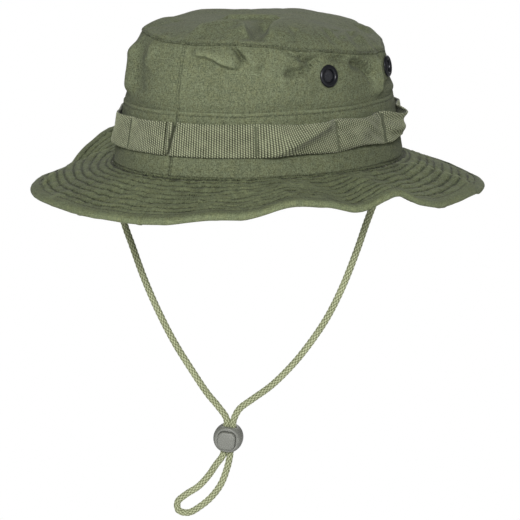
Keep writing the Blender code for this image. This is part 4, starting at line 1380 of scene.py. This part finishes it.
def make_tip():
    """The top panel."""
    t = np.linspace(0, 360, TIP_STEPS, endpoint=False)[:, None]
    share = np.concatenate([[0.0006, 0.01], heights((0.02, 0.86, 0.0125), (0.86, 1, 0.006)),
                            1 + np.linspace(0.1, 0.8, 6)])[None, :]
    points = tip_surface(t, share)
    away = (1 - np.minimum(share, 1)) * 80
    # The mark: painted shade in the seam's groove, a paler band just inside it, and fold tops paler for
    # wear and a painted highlight
    mark = -0.9 * hump(away, 0.7) + 0.35 * hump(away - 2.6, 1.2)
    for path, height, *_ in TIP_FOLDS:
        if height > PALE_CREST_FROM:
            mark = mark + 0.9 * crease(points[..., 0], points[..., 1], path, 1.0, 1.3, 1.3)
    weave = np.stack([points[..., 0], points[..., 1], np.broadcast_to(mark, points.shape[:2])], -1)
    thick = WALL_CLOTH - 0.5 * smooth((share - 1) / 0.3)
    tip = sheet("tip_cloth", points, thick, weave, CLOTH, wrap=True, flip=-1)
    add_piece(tip, "hat", "olive_cloth", "crown_tip")
    line = np.linspace(0, 359.5, 1300)
    rim = tip_surface(line, np.ones(len(line)))
    inset = 1 - 1.0 / np.hypot(rim[:, 0], rim[:, 1])
    stitching("tip_seam_stitches", [(tip_surface, line, inset, -1)], TIP_STITCH)


def make_bands():
    """Cloth band over the foot of the wall."""
    rows = []
    for side in SIDES:
        surface = lapped(band_surface, side, 0.45, 0.6)
        z = heights((-1.4, 37.5, 0.75), (34.0, 37.5, 0.35))
        z = np.concatenate([z, BAND_HEIGHT + np.linspace(0.4, 3.0, 7)])
        t = half_angles(side, z, BAND_STEPS, 1.6)
        points = surface(t, z[None, :])
        high = BAND_HEIGHT - z[None, :]
        # The mark: a painted highlight on the rolled top edge, painted shade along the stitched row and at
        # the foot where the band meets the brim, and painted shade along the centre seams
        mark = 0.8 * hump(high, 0.7) - 0.9 * hump(high - BAND_ROW, 0.6)
        mark = mark - 1.6 * smooth((0.9 - z[None, :]) / 1.2)
        mark = mark * 0.7 + seam_shade(t, z[None, :], BAND_SEAM_ROW)
        band = sheet(f"band_cloth_{side}", points, BAND_CLOTH, weave_of(t, z[None, :], mark), CLOTH)
        add_piece(band, "hat", "olive_cloth", f"crown_band_{side}")
        line = spread(*((8.5, 180.5) if side == "right" else (-175.5, 2.0)), 0.35)
        rows.append((surface, line, BAND_HEIGHT - BAND_ROW, 1))
    for low, high in ((1.0, 10.5), (32.0, 35.5)):
        line = spread(low, high, 0.5)
        rows.append((surface, seam_at(line) + 1.25, line, 1))
    stitching("band_stitches", rows, BAND_STITCH)


def make_brim():
    """Brim cloths above and below, the stiffener between them, and their quilting stitches."""
    d = np.concatenate([spread(BRIM_ROOT, 0.0, 0.8), spread(0.5, BRIM_REACH - 0.2, 0.52)])
    for layer, surface, flip, seed, paint, slot in (
        ("upper", brim_upper, -1, UPPER_SEED, BRIM_PAINT, "olive_cloth"),
        ("lower", brim_lower, 1, LOWER_SEED, LINING, "olive_lining"),
    ):
        for side in SIDES:
            t = half_angles(side, np.zeros(len(d)), BRIM_STEPS, 0.5)
            edge = d[None, :]
            points = surface(t, edge)
            # The mark: painted shade along the stitched grooves and the root, painted highlight on the
            # quilt's puffs with painted shade in its hollows, and fold tops paler for wear and a painted
            # highlight
            groove = sum(hump(edge - row_at(k, t), 0.75) for k in range(len(ROWS)))
            groove = groove + 1.2 * hump(edge - 0.4, 0.8)
            mark = -0.9 * np.clip(groove, 0, 1.3) + 1.3 * wear_and_highlight_crests(t, edge, BRIM_CRESTS, BRIM_RUN)
            mark = mark + 0.5 * brim_quilt(t, edge, seed)
            weave = weave_of(t, edge + 0 * t, mark, 1.15)
            near = np.minimum(seam_at(0.0) - t, t - BACK_SEAM + 360) if side == "left" else 99.0
            points[..., 2] += flip * 0.75 * (1 - smooth((near * 1.9 + 0.2) / 1.2))
            piece = sheet(f"brim_{layer}_cloth_{side}", points, BRIM_CLOTH, weave, paint, flip=flip)
            add_piece(piece, "hat", slot, f"brim_{layer}_{side}")
            line = spread(*((3.7, 181.9) if side == "right" else (-177.0, 2.7)), 0.3)
            rows = [(surface, line, row_at(k, line), flip) for k in range(len(ROWS))]
            stitching(f"brim_{layer}_stitches_{side}", rows, BRIM_STITCH)
    for side in SIDES:
        d = spread(BRIM_ROOT, BRIM_REACH - 0.6, 2.2)
        t = half_angles(side, np.zeros(len(d)), STIFFENER_STEPS, 0.0)
        edge = d[None, :] + 0 * t
        points = place(t, edge, brim_height(t, edge) - BRIM_CLOTH - 0.45 + brim_waves(t, edge))
        piece = sheet(f"stiffener_cloth_{side}", points, BRIM_STIFFENER, weave_of(t, edge, 0.0), STIFF,
                      flip=-1)
        add_piece(piece, "hat", "stiffener", f"brim_stiffener_{side}")


def make_binding():
    """Binding folded over the brim's edge, its ends lapped near the front."""
    start = 8.0
    t = np.linspace(start, start + 360.8, BINDING_STEPS)[:, None]
    u = np.concatenate([np.linspace(0, 1, 9), 1 + np.linspace(0, 1, 13)[1:], 2 + np.linspace(0, 1, 9)[1:]])
    points = binding_surface(t, u[None, :])
    lap = smooth((t - start - 359.6) / 0.4)
    points = points + normals_of(binding_surface, t, u[None, :], -1) * (0.35 * lap)[..., None]
    leaf = np.where(u < 1.5, np.clip(u, 0, 1), np.clip(3 - u, 0, 1))
    # The mark: paler along the outer fold, and painted shade along the stitched row and at the inner edges
    # where the binding meets the brim
    mark = 0.5 * hump(u - 1.5, 0.35) - 0.6 * hump(leaf - BINDING_ROWS[0], 0.1)
    mark = mark - 1.3 * hump(leaf, 0.08)
    weave = weave_of(t, u[None, :] * 5.0, mark[None, :], 1.6)
    piece = sheet("brim_edge_binding", points, BINDING_CLOTH, weave, BRIM_PAINT, flip=-1)
    add_piece(piece, "hat", "olive_cloth", "brim_binding")
    line = np.linspace(start + 0.5, start + 360.2, 1700)
    rows = [(binding_surface, line, share, -1) for share in BINDING_ROWS]
    stitching("binding_stitches", rows, BINDING_STITCH)


def make_inside():
    """Sweatband and the tape over the tip seam."""
    t = np.linspace(183.5, 183.5 + 360.6, SWEATBAND_STEPS)[:, None]
    z = heights((SWEATBAND_FOOT, SWEATBAND_HEAD, 0.9), (-0.5, 3, 0.4))[None, :]
    points = sweat_surface(t, z)
    # The mark: paler along the free top edge, and painted shade along the foot seam
    mark = 0.4 * hump(SWEATBAND_HEAD - z, 0.8) - 0.5 * hump(z - 0.5, 0.8)
    band = sheet("sweatband_cloth", points, SWEATBAND_CLOTH, weave_of(t, z, mark, 0.97), LINING, flip=-1)
    add_piece(band, "hat", "olive_lining", "sweatband")
    line = np.linspace(184, 543, 1600)
    zigzag = 1.4 + 1.2 * np.abs((line / 0.9) % 2 - 1)
    rows = [(sweat_surface, line, zigzag, -1), (sweat_surface, line, 28.2, -1)]
    stitching("sweatband_stitches", rows, SWEATBAND_STITCH)
    t = np.linspace(186.0, 186.0 + 360.6, TAPE_STEPS)[:, None]
    z = np.linspace(0, 1, 9)[None, :]
    tape = sheet("seam_tape_cloth", tape_surface(t, z), TAPE_CLOTH, weave_of(t, z * 3.4, 0.0), LINING,
                 flip=-1)
    add_piece(tape, "hat", "olive_lining", "tip_seam_tape")
    stitching("seam_tape_stitches", [(tape_surface, line, share, -1) for share in (0.2, 0.8)], TAPE_STITCH)


def make_webbing():
    """Loop band of ribbed tape, its ends turned in at the front seam, and its bar tacks."""
    run = np.arange(arc(5.9), arc(3.9 + 360) + 0.01, 0.365)
    v = np.concatenate([[0, 0.015], np.linspace(0.05, 0.95, 21), [0.985, 1]])[None, :]
    turn = turn_of(run)[:, None]
    ragged = 0.25 * np.random.default_rng(61).uniform(-1, 1, v.shape)
    t = turn + (ragged - 2.9 * (1 - v)) * smooth((5.9 + 9 - turn) / 9)
    t = t - 1.6 * (1 - v) * smooth((turn - 360 - 3.9 + 9) / 9)
    points = webbing_surface(t, v)
    first, last = run[:, None] - run[0], run[-1] - run[:, None]
    tuck = -0.9 * (1 - smooth(first / 1.0)) - 1.2 * (1 - smooth(last / 1.2))
    tuck = tuck - 1.1 * hump(last - 2.6 - 2.0 * v, 0.5)
    lift = 0.6 * hump(first - 2.0, 2.0)
    points[..., :2] += outline(t)[1] * (tuck + lift)[..., None]
    z = points[..., 2]
    # The mark: painted shade along the lower edge and in the slit where the end is turned in
    mark = -0.8 * hump(v, 0.02) - 1.5 * hump(last - 2.6 - 2.0 * v, 0.6)
    inner = (t - 2) % 360 + 2
    weave = np.stack([rib_run(inner, z), z, mark], -1)
    piece = sheet("loop_band_tape", points, TAPE_SHEET, weave, WEBBING)
    add_piece(piece, "hat", "webbing", "webbing_band")
    for number, angle in enumerate(TACK_ANGLES, 1):
        make_tack(number, angle)


TACK_PASSES, TACK_WIRE, TACK_AROUND = 44, 0.24, 6


def make_tack(number, angle):
    """One bar tack: dense zigzag passes of a single thread."""
    random = np.random.default_rng(100 + number)
    first = number == 1
    half = {1: 0.8, 4: 1.9}.get(number, 1.1)
    knots = np.arange(TACK_PASSES + 1)
    side = np.where(knots % 2, 1.0, -1.0) * half + random.uniform(-0.12, 0.12, TACK_PASSES + 1)
    v = 0.06 + 0.88 * knots / TACK_PASSES
    share = np.linspace(0, TACK_PASSES, TACK_PASSES * 4 + 1)
    across = np.interp(share, knots, side)
    level = np.interp(share, knots, v)
    at = 4.7 - 2.2 * (1 - level) if first else angle
    t = turn_of(arc(at) + across)
    middle = webbing_surface(t, level)
    normal = np.concatenate([outline(t)[1], np.zeros((len(t), 1))], -1)
    ease = (-0.75 if first else 0.15) + 0.22 * np.cos(across / half * np.pi / 2)
    line = middle + normal * ease[:, None]
    points = tube_points(line, TACK_WIRE, TACK_AROUND)[0]
    weave = np.zeros(points.shape)
    weave[..., 0] = np.linspace(0, 110, len(line))[:, None]
    weave[..., 1] = np.arange(TACK_AROUND) * 0.25
    tack = mesh_piece(f"bar_tack_{number:02d}", points.reshape(-1, 3), tube_quads(len(line), TACK_AROUND),
                      THREAD if first else PALE_THREAD, weave.reshape(-1, 3))
    add_piece(tack, "hat", "thread", f"webbing_tack_{number:02d}")


# The eyelet's pressed shell and its washer as (radius, height), and the wires of its screen
SHELL_PROFILE = [
    (3.7, -3.2), (4.4, -3.2), (4.4, 0.45), (6.3, 0.5), (6.75, 0.55), (6.9, 0.75), (6.88, 1.0), (6.7, 1.3),
    (6.3, 1.62), (5.8, 1.86), (5.3, 1.97), (4.8, 1.93), (4.35, 1.7), (4.0, 1.3), (3.8, 0.85), (3.7, 0.35),
]
WASHER_PROFILE = [(4.7, -2.3), (5.6, -2.35), (5.9, -2.2), (5.9, -1.9), (5.6, -1.75), (4.7, -1.75)]
DISC_PROFILE = [(0.02, -0.25), (3.6, -0.25), (3.6, -0.6), (0.02, -0.6)]
WIRE_PITCH, WIRE_R, WIRE_REACH, WIRE_STEPS = 0.55, 0.11, 3.45, 40


def make_eyelets():
    """Vent eyelets: pressed shell, washer inside and a woven wire screen."""
    for key, angle in EYELET_ANGLES.items():
        spot = eyelet_matrix(angle)
        spot.translation = spot.translation * MM
        pieces = {
            "shell": lathe(f"vent_shell_{key}", SHELL_PROFILE, 72, ENAMEL),
            "washer": lathe(f"vent_washer_{key}", WASHER_PROFILE, 64, ENAMEL),
            "screen": wire_screen(f"vent_screen_{key}"),
        }
        for kind, piece in pieces.items():
            piece.data.transform(spot)
            slot = "black_screen" if kind == "screen" else "black_enamel"
            add_piece(piece, "hat", slot, f"eyelet_{kind}_{key}")


def wire_screen(name):
    """Round of woven wire over a thin backing disc, in the eyelet's bore."""
    points, quads, count = [], [], 0
    for way in (0, 1):
        for k in range(-6, 7):
            x = np.full(WIRE_STEPS, k * WIRE_PITCH)
            reach = math.sqrt(max(WIRE_REACH**2 - x[0]**2, 0.01))
            y = np.linspace(-reach, reach, WIRE_STEPS)
            z = 0.05 + 0.12 * np.sin(np.pi * y / WIRE_PITCH + np.pi * (k + way))
            line = np.stack([y, x, z] if way else [x, y, z], -1)
            p = tube_points(line, WIRE_R, 6)[0].reshape(-1, 3)
            points.append(p)
            quads.append(tube_quads(WIRE_STEPS, 6) + count)
            count += len(p)
    angles = full_turn(48)
    ring = np.array([[(r * math.cos(a), r * math.sin(a), h) for a in angles] for r, h in DISC_PROFILE])
    points.append(ring.reshape(-1, 3))
    quads.append(side_quads(len(DISC_PROFILE), len(angles)) + count)
    return mesh_piece(name, np.concatenate(points), np.concatenate(quads), SCREEN)


def make_tabs():
    """Folded cloth tabs under the brim that hold the cord's ends, each boxed with stitches."""
    for side, middle in TAB_ANGLES.items():
        def tab_surface(t, u):
            """Outer face of the tab: u runs from the brim, round its outer fold and back."""
            t, u = np.broadcast_arrays(np.asarray(t, float), np.asarray(u, float))
            edge = np.clip((np.abs(t - middle) / TAB_HALF_ANGLE), 0, 1) ** 6
            half = TAB_THICK / 2 * (1 - 0.45 * edge)
            turn = np.clip(u - 1, 0, 1) * np.pi
            run = TAB_OFFSET[1] - TAB_OFFSET[0] - 1.1
            d = TAB_OFFSET[0] + run * (np.clip(u, 0, 1) - np.clip(u - 2, 0, 1)) + half * np.sin(turn)
            centre = brim_height(t, np.full(t.shape, 8.0)) + (d - 8) * -0.35 - BRIM_DEPTH - 1.75
            wrinkle = 0.14 * waves(t * 9, u, 50, 0.5, 96)
            return place(t, d, centre + np.cos(turn) * (half + wrinkle))
        t = np.linspace(middle - TAB_HALF_ANGLE, middle + TAB_HALF_ANGLE, 46)[:, None]
        u = np.concatenate([np.linspace(0, 1, 20), 1 + np.linspace(0, 1, 9)[1:],
                            2 + np.linspace(0, 1, 20)[1:]])[None, :]
        points = tab_surface(t, u)
        piece = sheet(f"tab_cloth_{side}", points, TAB_CLOTH, weave_of(t, u * 12, 0.0), LINING, flip=-1)
        add_piece(piece, "hat", "olive_lining", f"cord_tab_{side}")
        ends = middle - 3.4, middle + 3.4
        across = spread(*ends, 0.1)
        along = spread(2.12, 2.9, 0.02)
        rows = [(tab_surface, across, u, -1) for u in (2.12, 2.9)]
        rows += [(tab_surface, end, along, -1) for end in ends]
        stitching(f"tab_stitches_{side}", rows, TAB_STITCH)


make_walls()
make_tip()
make_bands()
make_brim()
make_binding()
make_inside()
make_webbing()
make_eyelets()
make_tabs()


# ---- floor and light ----

def make_floor():
    """Pale floor, shown from above only, so that the hat can be seen from below."""
    g = Graph("floor")
    g.finish((0.85, 0.85, 0.85, 1.0), 0.9)
    glow = g.tree.nodes.new("ShaderNodeEmission")
    seen = g.tree.nodes.new("ShaderNodeLightPath")
    pale = g.tree.nodes.new("ShaderNodeMixShader")
    back = g.tree.nodes.new("ShaderNodeNewGeometry")
    clear = g.tree.nodes.new("ShaderNodeBsdfTransparent")
    mix = g.tree.nodes.new("ShaderNodeMixShader")
    out = g.tree.nodes["Material Output"]
    g.put(mix.inputs[0], back.outputs["Backfacing"])
    g.put(pale.inputs[0], seen.outputs["Is Camera Ray"])
    g.tree.links.new(g.shader.outputs[0], pale.inputs[1])
    g.tree.links.new(glow.outputs[0], pale.inputs[2])
    g.tree.links.new(pale.outputs[0], mix.inputs[1])
    g.tree.links.new(clear.outputs[0], mix.inputs[2])
    g.tree.links.new(mix.outputs[0], out.inputs["Surface"])
    corners = [(x * FLOOR_HALF, y * FLOOR_HALF, FLOOR_Z) for x, y in ((-1, -1), (1, -1), (1, 1), (-1, 1))]
    floor = mesh_piece("floor", np.array(corners, float), [(0, 1, 2, 3)], g.material)


def make_light(name, azimuth, elevation, distance, size, power):
    """A large soft lamp that looks at the hat."""
    data = bpy.data.lights.new(name, "AREA")
    data.shape, data.size, data.energy = "DISK", size, power
    stand_off(new_object(name, data), azimuth, elevation, distance)


def make_world():
    """White surroundings."""
    world = bpy.data.worlds.new("studio")
    world.use_nodes = True
    shade = world.node_tree.nodes["Background"]
    shade.inputs[0].default_value = (1, 1, 1, 1)
    seen = world.node_tree.nodes.new("ShaderNodeLightPath")
    power = world.node_tree.nodes.new("ShaderNodeMapRange")
    power.inputs["To Min"].default_value = WORLD_LIGHT
    world.node_tree.links.new(seen.outputs["Is Camera Ray"], power.inputs["Value"])
    world.node_tree.links.new(power.outputs[0], shade.inputs[1])
    bpy.context.scene.world = world
    bpy.context.scene.view_settings.view_transform = "Standard"


make_floor()
for lamp in LAMPS:
    make_light(*lamp)
make_world()
